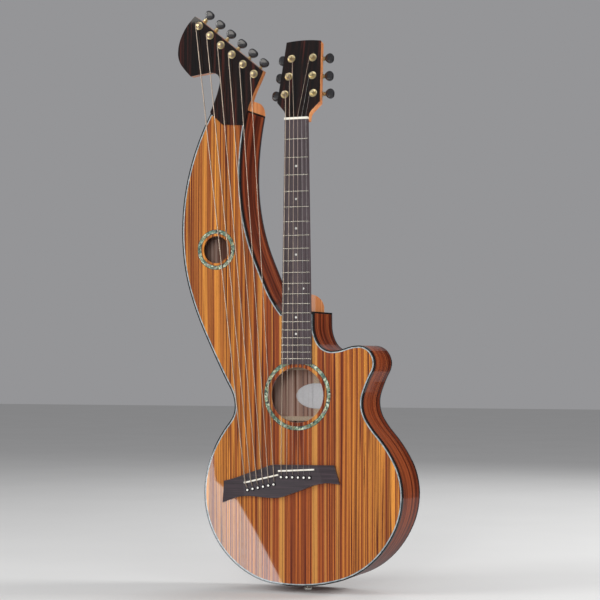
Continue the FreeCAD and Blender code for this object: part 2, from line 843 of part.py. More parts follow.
def make_bridge(pin_places):
    """An ebony bridge for twelve strings, with two thinned wings, two saddle slots and the pin holes."""
    plan = outline("bridge_outline", BRIDGE_BASS_WING, BRIDGE_TOP, BRIDGE_SHOULDER)
    blank = extrude("bridge_blank", plan, "0", "bridge_thickness", FORWARD)
    wedges = [wing_wedge("bass_wedge", BASS_CREASE, -1), wing_wedge("treble_wedge", TREBLE_CREASE, 1)]
    over = FRONT - dim("bridge_thickness") - 5
    slots = [
        saddle_bar("main_slot", MAIN_SADDLE, SADDLE_FLOOR, over, 0),
        saddle_bar("bass_slot", BASS_SADDLE, SADDLE_FLOOR, over, 0),
    ]
    holes = [
        prism(f"pin_hole_{number}", "pin_radius", "bridge_thickness", place.Base, BACKWARD, PIN_SIDES)
        for number, place in enumerate(pin_places, start=1)
    ]
    return name_part(cut("bridge_cut", blank, *wedges, *slots, group("pin_holes", *holes)), "bridge")


def make_pins(places):
    """Bridge pins: a shank through the bridge and a wider head."""
    shank = prism("pin_shank", "pin_radius", "bridge_thickness", Vector(), UP * -1, PIN_SIDES)
    head = prism("pin_head", "pin_head_radius", "pin_head_height", Vector(), UP)
    return name_part(copies("pin_copies", fuse("pin_master", shank, head), places), "bridge_pins")


# Tuning machines

NECK_POST_PLACES = (
    (-27.5, 45.9),
    (-23.0, 80.6),
    (-20.8, 115.6),
    (20.8, 115.6),
    (23.0, 80.6),
    (27.5, 45.9),
)
HARP_ROW_START = (-192.7, 1025.0)
HARP_ROW_END = (-83.8, 929.8)
HARP_POST_COUNT = 6


def frame_at(origin, out, towards_button):
    """A machine's own frame: Z out of the head along the post, X towards the button."""
    return Placement(origin, Rotation(towards_button, out.cross(towards_button), out, "ZXY"))


def neck_machines():
    """Three posts on each side of the headstock, from the bass string's to the treble string's."""
    return [
        frame_at(head_point(across, along), HEAD_OUT, TREBLE if across > 0 else TREBLE * -1)
        for across, along in NECK_POST_PLACES
    ]


def harp_machines():
    """Six posts in a row along the leaf's edge, from the longest string's to the shortest's."""
    start = Vector(HARP_ROW_START[0], VENEER_FACE, HARP_ROW_START[1])
    end = Vector(HARP_ROW_END[0], VENEER_FACE, HARP_ROW_END[1])
    row = (end - start) / (HARP_POST_COUNT - 1)
    outward = Vector(-row.z, 0, row.x).normalize()
    return [frame_at(start + row * number, FORWARD, outward) for number in range(HARP_POST_COUNT)]


def worm_side(place):
    """On which side of the post the worm lies: always towards the head's tip."""
    return 1 if place.Rotation.multVec(BACKWARD).z > 0 else -1


POST_SIDES = 8
SHAFT_SIDES = 8


def bore_radius(alias, sides):
    """The corner radius of a bore whose flats clear a turning shaft by the running gap."""
    return (dim(alias) + dim("running_gap")) / math.cos(math.pi / sides)


def post_foot():
    """How far behind the head's face a post ends, just clear of its housing."""
    return dim("veneer_thickness") + dim("head_thickness") - dim("running_gap")


def make_post_master():
    """A string post, from the gear housing to above the head's face."""
    length = f"{post_foot()} + post_rise"
    return prism("post_master", "post_radius", length, Vector(0, 0, -post_foot()), UP, POST_SIDES)


def worm_frame(place):
    """The worm shaft's frame: X along the shaft to the button."""
    drop = dim("veneer_thickness") + dim("head_thickness") + dim("housing_depth") / 2
    local = Vector(0, dim("worm_offset") * worm_side(place), -drop)
    return Placement(place.multVec(local), place.Rotation)


BUTTON_HALF_PLAN = ((0.0, 3.5), (6.0, 9.2), (12.0, 9.2), (16.0, 4.0))
BUTTON_BEVEL = 2.0


def make_button_master():
    """A worm shaft with its collar and a bevelled button."""
    shaft_start = Vector(dim("shaft_inner_end"), 0, 0)
    collar_start = Vector(HOUSING_HALF_WIDTH + dim("running_gap"), 0, 0)
    shaft_length = "button_start + 1 - shaft_inner_end"
    shaft = prism("worm_shaft", "shaft_radius", shaft_length, shaft_start, TREBLE, SHAFT_SIDES)
    collar_length = f"collar_end - {collar_start.x}"
    collar = prism("collar", "collar_radius", collar_length, collar_start, TREBLE, SHAFT_SIDES)

    near, half = dim("button_start"), dim("button_depth") / 2
    corners = [Vector(near + along, wide, -half) for along, wide in BUTTON_HALF_PLAN]
    corners += [Vector(near + along, -wide, -half) for along, wide in reversed(BUTTON_HALF_PLAN)]
    plan = shaped("button_plan", Part.makePolygon(corners + corners[:1]))
    plate = extrude("button_plate", plan, "0", "button_depth", UP)
    doc.recompute()
    rims = [
        index
        for index, edge in enumerate(plate.Shape.Edges, start=1)
        if abs(edge.Vertexes[0].Z - edge.Vertexes[-1].Z) < 1e-6
    ]
    button = doc.addObject("Part::Chamfer", "button_bevelled")
    button.Base = plate
    button.Edges = [(index, BUTTON_BEVEL, BUTTON_BEVEL) for index in rims]
    return fuse("button_master", shaft, collar, button)


HOUSING_HALF_WIDTH = 8.5
HOUSING_CORNER = 4.0
HOUSING_SHORT_REACH = 9.0
HOUSING_LONG_REACH = 15.0


def make_housing_master(name, side):
    """A closed gear housing with chamfered corners and a bore for the worm shaft."""
    floor = -dim("veneer_thickness") - dim("head_thickness")
    wide = HOUSING_HALF_WIDTH
    low, high = (-HOUSING_SHORT_REACH, HOUSING_LONG_REACH)
    if side < 0:
        low, high = -high, -low
    corners = [(wide, low + HOUSING_CORNER), (wide, high - HOUSING_CORNER), (wide - HOUSING_CORNER, high)]
    corners += [(HOUSING_CORNER - wide, high), (-wide, high - HOUSING_CORNER), (-wide, low + HOUSING_CORNER)]
    corners += [(HOUSING_CORNER - wide, low), (wide - HOUSING_CORNER, low)]
    points = [Vector(across, along, floor) for across, along in corners]
    plan = shaped(name + "_plan", Part.makePolygon(points + points[:1]))
    block = extrude(name + "_block", plan, "0", "housing_depth", UP * -1)
    inner_end = dim("shaft_inner_end") - dim("running_gap")
    start = Vector(inner_end, dim("worm_offset") * side, floor - dim("housing_depth") / 2)
    corner = bore_radius("shaft_radius", SHAFT_SIDES)
    bore = prism(name + "_bore", corner, "20", start, TREBLE, SHAFT_SIDES)
    return cut(name, block, bore)


def make_bushing_master():
    """A bright ring round the post, on the head's face."""
    outer = prism("bushing_outer", "bushing_radius", "bushing_height", Vector(), UP, POST_SIDES)
    corner = bore_radius("post_radius", POST_SIDES)
    bore = prism("bushing_bore", corner, "bushing_height", Vector(), UP, POST_SIDES)
    return cut("bushing_master", outer, bore)


def make_machines(places):
    """Twelve tuning machines; the posts and buttons turn, the housings and bushings stay."""
    post = make_post_master()
    button = make_button_master()
    housing = {side: make_housing_master(f"housing_{word}", side) for side, word in ((1, "right"), (-1, "left"))}
    housings = []
    for number, place in enumerate(places, start=1):
        name_part(placed(f"post_{number}", post, place), f"tuner_post_{number}")
        name_part(placed(f"button_{number}", button, worm_frame(place)), f"tuner_button_{number}")
        housings.append(placed(f"housing_{number}", housing[worm_side(place)], place))
    name_part(group("housing_group", *housings), "tuner_housings")
    name_part(copies("bushing_copies", make_bushing_master(), places), "tuner_bushings")


# Strings: taut, over the saddle and the nut, then wound on the posts

MAIN_GAUGES = (1.35, 1.07, 0.81, 0.61, 0.41, 0.33)
BASS_GAUGES = (1.9, 1.8, 1.7, 1.6, 1.5, 1.4)
MAIN_PIN_SPACING = 10.9
MAIN_STRING_SPACING = 10.7
NUT_STRING_SPACING = 7.8
MAIN_PIN_HEIGHT = 196.0
BASS_PIN_START = (-92.4, 171.4)
BASS_PIN_END = (-41.5, 182.5)
BASS_STRING_START = -96.3
BASS_STRING_END = -40.7
STRING_CLEARANCE = 0.05
NUT_ACTION = 1.9
WOUND_HALF_TURNS = 2
WIND_TOP = 7.0
SECTION_SIDES = 4
BEND_REACH = 1.2


def spread(start, end, count):
    """Evenly spaced values from start to end."""
    return [start + (end - start) * index / (count - 1) for index in range(count)]


def centred(spacing, count=6):
    return spread(-spacing * (count - 1) / 2, spacing * (count - 1) / 2, count)


def pin_places():
    """Frames of the twelve pins, Z out of the bridge: the sub-bass row, then the main row."""
    face = FRONT - dim("bridge_thickness")
    upright = Rotation(UP, FORWARD)
    bass = zip(
        spread(BASS_PIN_START[0], BASS_PIN_END[0], len(BASS_GAUGES)),
        spread(BASS_PIN_START[1], BASS_PIN_END[1], len(BASS_GAUGES)),
    )
    main = [(across, MAIN_PIN_HEIGHT) for across in centred(MAIN_PIN_SPACING)]
    return [Placement(Vector(across, face, height), upright) for across, height in list(bass) + main]


def over_saddle(ends, across, gauge):
    """Where a string's centre line crosses its saddle."""
    return Vector(across, SADDLE_TOP - gauge / 2 - STRING_CLEARANCE, along_saddle(ends, across))


def leave_pin(place, gauge, towards):
    """Where a string comes out beside its pin, on the bridge's face."""
    lead = Vector(towards.x - place.Base.x, 0, towards.z - place.Base.z).normalize()
    lift = gauge / 2 + STRING_CLEARANCE
    return place.Base + lead * (dim("pin_head_radius") + lift) + FORWARD * lift


def winding(place, arrive_from, gauge, pick):
    """The wound stretch on a post: its start and its edges; pick chooses the side that it touches."""
    out = place.Rotation.multVec(UP)
    radius = dim("post_radius") + dim("string_gap") + gauge / 2
    pitch = gauge + dim("turn_gap")
    centre = place.Base + out * WIND_TOP
    flat = arrive_from - centre
    flat = flat - out * flat.dot(out)
    east = Vector(flat).normalize()
    north = out.cross(east)
    opening = math.acos(radius / flat.Length)
    touches = {
        sense: centre + (east * math.cos(opening) + north * (math.sin(opening) * sense)) * radius
        for sense in (1, -1)
    }
    sense = pick(touches)

    def at(angle):
        swing = sense * (opening + angle)
        point = centre + (east * math.cos(swing) + north * math.sin(swing)) * radius
        point -= out * (pitch * angle / (2 * math.pi))
        direction = (north * math.cos(swing) - east * math.sin(swing)) * (sense * radius)
        direction -= out * (pitch / (2 * math.pi))
        return point, direction.normalize()

    stations = [at(index * math.pi) for index in range(WOUND_HALF_TURNS + 1)]
    touch = stations[0][0]
    stations[0] = (touch, (touch - arrive_from).normalize())
    edges = []
    for (here, going), (there, arriving) in zip(stations, stations[1:]):
        edges += biarc(here, going, there, arriving)
    return touch, edges


def bend(before, corner, after, reach):
    """A small arc that rounds a corner between two straight stretches."""
    arriving = (corner - before).normalize()
    leaving = (after - corner).normalize()
    start, end = corner - arriving * reach, corner + leaving * reach
    edge, _ = arc_or_line(start, arriving, end)
    return start, edge, end


def string_route(points, place, gauge, pick):
    """The centre line: straight from bend to bend, then round the post."""
    touch, wound = winding(place, points[-1], gauge, pick)
    edges = []
    here = points[0]
    route = points + [touch]
    for before, corner, after in zip(route, route[1:], route[2:]):
        start, edge, end = bend(before, corner, after, BEND_REACH)
        edges += [Part.LineSegment(here, start).toShape(), edge]
        here = end
    edges.append(Part.LineSegment(here, touch).toShape())
    return edges + wound, wound


def string_solid(edges, gauge):
    """A faceted tube along the route."""
    start = edges[0].Vertexes[0].Point
    ahead = (edges[0].Vertexes[1].Point - start).normalize()
    across = TREBLE - ahead * TREBLE.dot(ahead)
    across.normalize()
    upward = ahead.cross(across)
    corners = []
    for index in range(SECTION_SIDES):
        angle = 2 * math.pi * (index + 0.5) / SECTION_SIDES
        corners.append(start + (across * math.cos(angle) + upward * math.sin(angle)) * (gauge / 2))
    profile = Part.makePolygon(corners + corners[:1])
    return Part.Wire(edges).makePipeShell([profile], True, False)


def least_gap(wound, gauge):
    """The least space between neighbouring turns, measured on points along the winding."""
    points = []
    for edge in wound:
        points += edge.discretize(Number=15)[:-1]
    half_turn = len(points) // WOUND_HALF_TURNS
    nearest = min(
        here.distanceToPoint(there)
        for index, here in enumerate(points)
        for there in points[index + half_turn:]
    )
    return nearest - gauge


def lowest(touches):
    return min(touches, key=lambda sense: touches[sense].x)


def nearest_middle(touches):
    return min(touches, key=lambda sense: abs(touches[sense].x))


def make_strings(name, routes):
    """Several strings as separate solids; the space between their turns is printed."""
    solids = []
    for points, place, gauge, pick in routes:
        edges, wound = string_route(points, place, gauge, pick)
        solids.append(string_solid(edges, gauge))
        print(name, "gauge", gauge, "least gap between turns", round(least_gap(wound, gauge), 2))
    return name_part(shaped(name + "_wires", Part.makeCompound(solids)), name)


def nut_crossings():
    """Where the six playing strings pass the nut."""
    return [
        (Vector(across, BOARD_FACE - NUT_ACTION, NUT_LINE), gauge)
        for across, gauge in zip(centred(NUT_STRING_SPACING), MAIN_GAUGES)
    ]


def main_routes(pins, machines):
    routes = []
    rows = zip(pins, centred(MAIN_STRING_SPACING), nut_crossings(), machines)
    for pin, across, (crossing, gauge), machine in rows:
        saddle = over_saddle(MAIN_SADDLE, across, gauge)
        nut = Vector(crossing.x, crossing.y, HEAD_BASE + 2)
        routes.append(([leave_pin(pin, gauge, saddle), saddle, nut], machine, gauge, nearest_middle))
    return routes


def bass_routes(pins, machines):
    routes = []
    rows = zip(pins, spread(BASS_STRING_START, BASS_STRING_END, len(BASS_GAUGES)), BASS_GAUGES, machines)
    for pin, across, gauge, machine in rows:
        saddle = over_saddle(BASS_SADDLE, across, gauge)
        routes.append(([leave_pin(pin, gauge, saddle), saddle], machine, gauge, lowest))
    return routes


PIN_NECK_SIDES = 12


def end_pin_hole():
    """The passage for the end pin's shank, through the rim and into the tail block."""
    return prism("end_pin_hole", "end_pin_shank_radius", "60", Vector(0, 0, -20), UP)


def make_end_pin():
    """A turned pin in the tail: its neck starts at the rim and its shank goes into the tail block."""
    shank = prism("end_pin_shank", "end_pin_shank_radius", "20", Vector(), UP)
    neck = prism("end_pin_neck", "end_pin_neck_radius", "end_pin_neck_length", Vector(), UP * -1, PIN_NECK_SIDES)
    below = Vector(0, 0, -dim("end_pin_neck_length"))
    knob = rod("end_pin_knob", "end_pin_knob_radius", "end_pin_knob_length", below, UP * -1)
    return name_part(fuse("end_pin_turned", shank, neck, knob), "end_pin")


# Assembly

pins = pin_places()
neck_places = neck_machines()
harp_places = harp_machines()
pin_hole = end_pin_hole()
make_soundboard()
make_binding()
make_back_plate()
make_sides(pin_hole)
make_blocks(pin_hole)
make_end_strips()
make_top_braces()
make_back_details()
make_neck(make_truss_rod(), neck_places)
make_harp_head(harp_places)
make_headplates(neck_places, harp_places)
make_fretboard(make_dots())
make_frets()
make_nut(nut_crossings())
make_saddles()
make_bridge(pins)
make_pins(pins)
make_machines(neck_places + harp_places)
make_end_pin()
make_strings("playing_strings", main_routes(pins[6:], neck_places))
make_strings("sub_bass_strings", bass_routes(pins[:6], harp_places))
doc.recompute()

failed = [feature.Name for feature in doc.Objects if {"Invalid", "Error"} & set(feature.State)]
failed += [part.Label for part in sub_parts if part.Shape.isNull() or not part.Shape.isValid()]
if failed:
    raise RuntimeError("these did not build: " + ", ".join(failed))

os.makedirs("parts", exist_ok=True)
for part in sub_parts:
    part.Shape.exportStep(f"parts/{part.Label}.step")
print(len(sub_parts), "sub-parts")
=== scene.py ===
from math import acos, asin, cos, pi, radians, sin

import bmesh
import bpy
from mathutils import Matrix, Vector


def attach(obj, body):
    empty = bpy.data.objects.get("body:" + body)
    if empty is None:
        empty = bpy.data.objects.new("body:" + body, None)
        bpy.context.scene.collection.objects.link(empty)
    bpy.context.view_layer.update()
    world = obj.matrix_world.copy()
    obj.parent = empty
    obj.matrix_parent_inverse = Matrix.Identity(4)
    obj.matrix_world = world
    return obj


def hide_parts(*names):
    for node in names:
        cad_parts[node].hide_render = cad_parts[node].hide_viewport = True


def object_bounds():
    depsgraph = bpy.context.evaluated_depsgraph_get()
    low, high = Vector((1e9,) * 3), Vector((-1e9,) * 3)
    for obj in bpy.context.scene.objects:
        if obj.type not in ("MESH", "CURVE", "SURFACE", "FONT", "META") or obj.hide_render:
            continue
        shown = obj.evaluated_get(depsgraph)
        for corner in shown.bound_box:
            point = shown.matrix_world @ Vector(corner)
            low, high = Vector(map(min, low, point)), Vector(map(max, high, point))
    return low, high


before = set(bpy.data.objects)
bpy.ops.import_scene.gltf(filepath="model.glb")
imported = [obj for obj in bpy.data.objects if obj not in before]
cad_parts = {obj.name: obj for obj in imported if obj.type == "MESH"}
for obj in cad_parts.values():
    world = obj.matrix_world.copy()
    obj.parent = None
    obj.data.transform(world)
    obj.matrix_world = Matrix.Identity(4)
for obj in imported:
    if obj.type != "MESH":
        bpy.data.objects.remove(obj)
cad_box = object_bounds()
scene = bpy.context.scene
scene.view_settings.view_transform = "Standard"


# Camera
# The photograph looks at the front from 20 degrees round on the treble side, a little from below,
# with a long lens a few metres away.

view_centre = Vector((0.0054, -0.058, 0.515))
view_azimuth = radians(20.3)
view_elevation = radians(-1.9)
view_distance = 3.25
towards_viewer = Vector((
    sin(view_azimuth) * cos(view_elevation),
    -cos(view_azimuth) * cos(view_elevation),
    sin(view_elevation),
))
camera = bpy.data.objects.new("camera", bpy.data.cameras.new("camera"))
camera.data.lens = 108
camera.data.sensor_width = 36
camera.location = view_centre + towards_viewer * view_distance
camera.rotation_mode = "QUATERNION"
camera.rotation_quaternion = (-towards_viewer).to_track_quat("-Z", "Y")
scene.collection.objects.link(camera)
scene.camera = camera


# Soundboard
# A book-matched plate of striped golden wood: the two halves mirror each other from the centre seam.
# It is bound in black and lacquered to a high gloss.


def new_finish(name, roughness, coat=0.0, metallic=0.0, coat_roughness=0.03, under_coat=0.5):
    """A material and its shader; a lacquered one shines by its coat, and little under it."""
    made = bpy.data.materials.new(name)
    made.use_nodes = True
    shader = made.node_tree.nodes["Principled BSDF"]
    shader.inputs["Roughness"].default_value = roughness
    shader.inputs["Metallic"].default_value = metallic
    shader.inputs["Coat Weight"].default_value = coat
    shader.inputs["Coat Roughness"].default_value = coat_roughness
    shader.inputs["Specular IOR Level"].default_value = under_coat
    return made, shader


def put(made, kind, values=None, **settings):
    """One more node in a material; a value may be a number, a colour or another node's output."""
    added = made.node_tree.nodes.new(kind)
    for key, value in settings.items():
        setattr(added, key, value)
    for key, value in (values or {}).items():
        socket = added.inputs[key]
        if isinstance(value, bpy.types.NodeSocket):
            made.node_tree.links.new(value, socket)
        else:
            socket.default_value = value
    return added


def object_place(made):
    return put(made, "ShaderNodeTexCoord").outputs["Object"]


def mirrored(made, seam=0.0):
    """Object coordinates whose X counts from a seam, the same on both sides of it."""
    moved = put(made, "ShaderNodeVectorMath", {0: object_place(made), 1: (-seam, 0, 0)}, operation="ADD")
    return put(made, "ShaderNodeVectorMath", {0: moved.outputs[0]}, operation="ABSOLUTE").outputs[0]


def wavy(made, place, amount, across, along):
    """Coordinates that wander by up to the amount, as grain does along a plank."""
    slow = put(made, "ShaderNodeMapping", {"Vector": place, "Scale": (across, across, along)})
    drift = put(made, "ShaderNodeTexNoise", {"Vector": slow.outputs[0], "Scale": 1.0, "Detail": 1.0})
    centred = put(
        made, "ShaderNodeVectorMath", {0: drift.outputs["Color"], 1: (0.5, 0.5, 0.5)}, operation="SUBTRACT"
    )
    scaled = put(
        made, "ShaderNodeVectorMath", {0: centred.outputs[0], 1: (amount,) * 3}, operation="MULTIPLY"
    )
    return put(made, "ShaderNodeVectorMath", {0: place, 1: scaled.outputs[0]}, operation="ADD").outputs[0]


def streaks(made, place, scales, detail=2.0):
    """Noise drawn out along the grain, from 0 to 1."""
    drawn = put(made, "ShaderNodeMapping", {"Vector": place, "Scale": scales})
    return put(
        made, "ShaderNodeTexNoise", {"Vector": drawn.outputs[0], "Scale": 1.0, "Detail": detail}
    ).outputs["Fac"]


def ramp(made, value, *stops):
    """A colour ramp; each stop is a position and a colour."""
    added = put(made, "ShaderNodeValToRGB", {"Fac": value})
    points = added.color_ramp.elements
    while len(points) < len(stops):
        points.new(1.0)
    for point, (position, colour) in zip(points, stops):
        point.position = position
        point.color = tuple(colour) + (1.0,) if len(colour) == 3 else colour
    return added.outputs["Color"]


def grey(level):
    return (level, level, level)


def blended(made, share, below, above, how="MIX"):
    """Two colours mixed by a share, which may be a number or an output."""
    added = put(made, "ShaderNodeMix", {"Factor": share}, data_type="RGBA", blend_type=how)
    for socket, value in ((added.inputs[6], below), (added.inputs[7], above)):
        if isinstance(value, bpy.types.NodeSocket):
            made.node_tree.links.new(value, socket)
        else:
            socket.default_value = tuple(value) + (1.0,)
    return added.outputs[2]


def coloured(made, shader, colour):
    made.node_tree.links.new(colour, shader.inputs["Base Color"])


def bumped(made, shader, height, strength, distance):
    """A relief in the finish, from a height of 0 to 1."""
    relief = put(made, "ShaderNodeBump", {"Height": height, "Strength": strength, "Distance": distance})
    made.node_tree.links.new(relief.outputs["Normal"], shader.inputs["Normal"])


def dress(name, finish):
    """Gives a CAD node its finish."""
    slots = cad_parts[name].data.materials
    slots.clear()
    slots.append(finish)


top_gloss, top_shader = new_finish(
    "striped_top", roughness=0.5, coat=1.0, coat_roughness=0.02, under_coat=0.0
)
top_place = mirrored(top_gloss, seam=0.002)
across_top = put(top_gloss, "ShaderNodeSeparateXYZ", {"Vector": wavy(top_gloss, top_place, 0.006, 6, 2)})
ground_share = put(
    top_gloss, "ShaderNodeMapRange", {"Value": across_top.outputs["X"], "From Max": 0.2}
).outputs[0]
top_ground = ramp(
    top_gloss, ground_share,
    (0.00, (0.500, 0.140, 0.026)),
    (0.30, (0.520, 0.150, 0.028)),
    (0.42, (0.600, 0.210, 0.036)),
    (0.62, (0.680, 0.265, 0.045)),
    (1.00, (0.700, 0.280, 0.050)),
)
top_grain = wavy(top_gloss, top_place, 0.004, 10, 2.5)
broad_streaks = ramp(
    top_gloss, streaks(top_gloss, top_grain, (95, 20, 1.2)), (0.38, grey(0.0)), (0.60, grey(1.0))
)
top_toned = blended(top_gloss, broad_streaks, (0.200, 0.035, 0.012), top_ground)
top_toned = blended(top_gloss, 0.35, top_toned, top_ground)
fine_streaks = ramp(
    top_gloss, streaks(top_gloss, top_grain, (330, 40, 1.5), 1.0), (0.42, grey(0.0)), (0.56, grey(1.0))
)
top_streaked = blended(top_gloss, fine_streaks, (0.190, 0.034, 0.012), top_toned)
top_streaked = blended(top_gloss, 0.25, top_streaked, top_toned)
sap_share = ramp(
    top_gloss, ground_share,
    (0.128, grey(0.0)), (0.136, grey(0.75)), (0.178, grey(0.75)), (0.188, grey(0.0)), (0.245, grey(0.0)),
    (0.252, grey(0.5)), (0.262, grey(0.5)), (0.270, grey(0.0)), (0.352, grey(0.0)), (0.360, grey(0.5)),
    (0.385, grey(0.5)), (0.395, grey(0.0)),
)
top_streaked = blended(top_gloss, sap_share, top_streaked, (0.640, 0.300, 0.070))
thin_lines = ramp(
    top_gloss, streaks(top_gloss, top_grain, (250, 30, 1.0), 1.0),
    (0.455, grey(1.0)), (0.490, grey(0.0)), (0.510, grey(0.0)), (0.545, grey(1.0)),
)
top_lined = blended(top_gloss, thin_lines, (0.100, 0.017, 0.009), top_streaked)
hair_lines = ramp(
    top_gloss, streaks(top_gloss, top_grain, (560, 60, 3.0), 3.0), (0.40, grey(0.66)), (0.55, grey(1.0))
)
top_lined = blended(top_gloss, 0.8, top_lined, hair_lines, "MULTIPLY")
top_pores = ramp(
    top_gloss, streaks(top_gloss, object_place(top_gloss), (1900, 60, 90), 2.0),
    (0.30, grey(0.62)), (0.40, grey(1.0)),
)
coloured(top_gloss, top_shader, blended(top_gloss, 0.8, top_lined, top_pores, "MULTIPLY"))
dress("soundboard", top_gloss)


# Black binding and pale purfling
# A black plastic strip protects the edge of the top, and beside it a pale line of pearl two
# millimetres wide is let into the wood.


def merged_copy(name):
    """A CAD node's mesh as a bmesh with its corners merged."""
    made = bmesh.new()
    made.from_mesh(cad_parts[name].data)
    bmesh.ops.remove_doubles(made, verts=made.verts, dist=2e-6)
    return made


def keep_faces(made, chosen):
    others = [face for face in made.faces if face not in chosen]
    bmesh.ops.delete(made, geom=others, context="FACES")


def add_piece(name, made, finish, body="guitar", sharp=35):
    """Turns a bmesh into a smooth-shaded piece that rides on a body."""
    mesh = bpy.data.meshes.new(name)
    made.to_mesh(mesh)
    made.free()
    for face in mesh.polygons:
        face.use_smooth = True
    mesh.set_sharp_from_angle(angle=radians(sharp))
    mesh.materials.append(finish)
    added = bpy.data.objects.new(name, mesh)
    scene.collection.objects.link(added)
    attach(added, body)
    return added


front_face = -0.058
main_hole = Vector((0, front_face, 0.3436))
arm_hole = Vector((-0.159, front_face, 0.6095))
purfling_width = 0.002
inlay_lift = 0.00006
inlay_depth = 0.0005

black_plastic, black_shader = new_finish("black_binding", roughness=0.4, coat=1.0, under_coat=0.0)
black_mottle = streaks(black_plastic, object_place(black_plastic), (90, 90, 90), 3.0)
coloured(black_plastic, black_shader, ramp(
    black_plastic, black_mottle, (0.3, (0.010, 0.010, 0.011)), (0.7, (0.016, 0.015, 0.015))
))
dress("top_binding", black_plastic)
dress("end_strips", black_plastic)

pearl_line, pearl_line_shader = new_finish("purfling_pearl", roughness=0.4, coat=1.0, under_coat=0.2)
pearl_patches = streaks(pearl_line, object_place(pearl_line), (160, 160, 160), 2.0)
coloured(pearl_line, pearl_line_shader, ramp(
    pearl_line, pearl_patches,
    (0.35, (0.20, 0.25, 0.27)), (0.50, (0.30, 0.35, 0.37)), (0.65, (0.40, 0.44, 0.44)),
))
purfling = merged_copy("soundboard")
keep_faces(purfling, {face for face in purfling.faces if face.normal.y < -0.9})
rim = bmesh.ops.inset_region(
    purfling, faces=purfling.faces[:], thickness=purfling_width, use_even_offset=True, use_boundary=True
)["faces"]
keep_faces(purfling, {
    face for face in rim
    if (face.calc_center_median() - main_hole).length > 0.06
    and (face.calc_center_median() - arm_hole).length > 0.035
})
bmesh.ops.translate(purfling, verts=purfling.verts, vec=(0, -inlay_lift, 0))
lifted = bmesh.ops.extrude_face_region(purfling, geom=purfling.faces[:])["geom"]
bmesh.ops.translate(
    purfling, verts=[part for part in lifted if isinstance(part, bmesh.types.BMVert)], vec=(0, inlay_depth, 0)
)
bmesh.ops.recalc_face_normals(purfling, faces=purfling.faces)
add_piece("purfling", purfling, pearl_line)


# Rosettes
# Rings of green abalone chips between thin black lines, let into the top round both sound holes.
# The main one runs on under the end of the fretboard.


def turned(profile, steps=48):
    """A bmesh turned about Z from a closed or open profile of radius and height."""
    made = bmesh.new()
    corners = [made.verts.new((radius, 0, height)) for radius, height in profile]
    edges = [made.edges.new(pair) for pair in zip(corners, corners[1:])]
    bmesh.ops.spin(
        made, geom=corners + edges, cent=(0, 0, 0), axis=(0, 0, 1), angle=2 * pi, steps=steps, use_merge=True
    )
    bmesh.ops.remove_doubles(made, verts=made.verts, dist=1e-7)
    bmesh.ops.recalc_face_normals(made, faces=made.faces)
    return made


def faced(place, out, across):
    """A placement with Z pointing out and X across."""
    out = Vector(out).normalized()
    across = Vector(across).normalized()
    turn = Matrix((across, out.cross(across), out)).transposed().to_4x4()
    return Matrix.Translation(place) @ turn


def placed_copies(made, places):
    """One bmesh that holds a copy of the given one at each place."""
    mesh = bpy.data.meshes.new("pattern")
    made.to_mesh(mesh)
    made.free()
    whole = bmesh.new()
    for place in places:
        start = len(whole.verts)
        whole.from_mesh(mesh)
        whole.verts.ensure_lookup_table()
        bmesh.ops.transform(whole, matrix=place, verts=whole.verts[start:])
    bpy.data.meshes.remove(mesh)
    return whole


def flat_ring(inner, outer, lift):
    closed = [(inner, lift), (outer, lift), (outer, -inlay_depth), (inner, -inlay_depth), (inner, lift)]
    return turned(closed, 96)


abalone, abalone_shader = new_finish("abalone", roughness=0.3, coat=1.0, under_coat=0.3)
chip_cells = put(
    abalone, "ShaderNodeTexVoronoi", {"Vector": object_place(abalone), "Scale": 260.0, "Randomness": 1.0}
)
chip_tint = put(abalone, "ShaderNodeSeparateColor", {"Color": chip_cells.outputs["Color"]}).outputs[0]
swirl = streaks(abalone, object_place(abalone), (420, 420, 420), 4.0)
chip_colour = ramp(
    abalone, chip_tint,
    (0.00, (0.030, 0.045, 0.042)),
    (0.15, (0.110, 0.200, 0.150)),
    (0.35, (0.270, 0.400, 0.270)),
    (0.50, (0.080, 0.150, 0.130)),
    (0.65, (0.370, 0.350, 0.170)),
    (0.82, (0.700, 0.800, 0.620)),
    (1.00, (0.240, 0.200, 0.200)),
)
swirl_light = ramp(abalone, swirl, (0.38, grey(0.30)), (0.60, grey(1.0)), (0.75, (1.0, 1.0, 0.90)))
coloured(abalone, abalone_shader, blended(abalone, 0.9, chip_colour, swirl_light, "MULTIPLY"))

main_rosette = (0.0570, 0.0634)
arm_rosette = (0.0300, 0.0365)
border_width = 0.0006
for rosette, hole, (inner, outer) in (
    ("main_rosette", main_hole, main_rosette),
    ("arm_rosette", arm_hole, arm_rosette),
):
    seat = faced(hole, (0, -1, 0), (1, 0, 0))
    ring = placed_copies(flat_ring(inner, outer, inlay_lift), [seat])
    add_piece(rosette, ring, abalone)
    borders = flat_ring(inner - border_width, inner, inlay_lift)
    outer_border = flat_ring(outer, outer + border_width, inlay_lift)
    both = placed_copies(borders, [seat])
    outer_copy = placed_copies(outer_border, [seat])
    joined = bpy.data.meshes.new("pattern")
    outer_copy.to_mesh(joined)
    outer_copy.free()
    both.from_mesh(joined)
    bpy.data.meshes.remove(joined)
    add_piece(rosette + "_lines", both, black_plastic)


# Sides and back
# Darker red-brown ribs of the same tree, bent so that their stripes run round the body, and a
# book-matched arched back. Inside, the wood is bare.

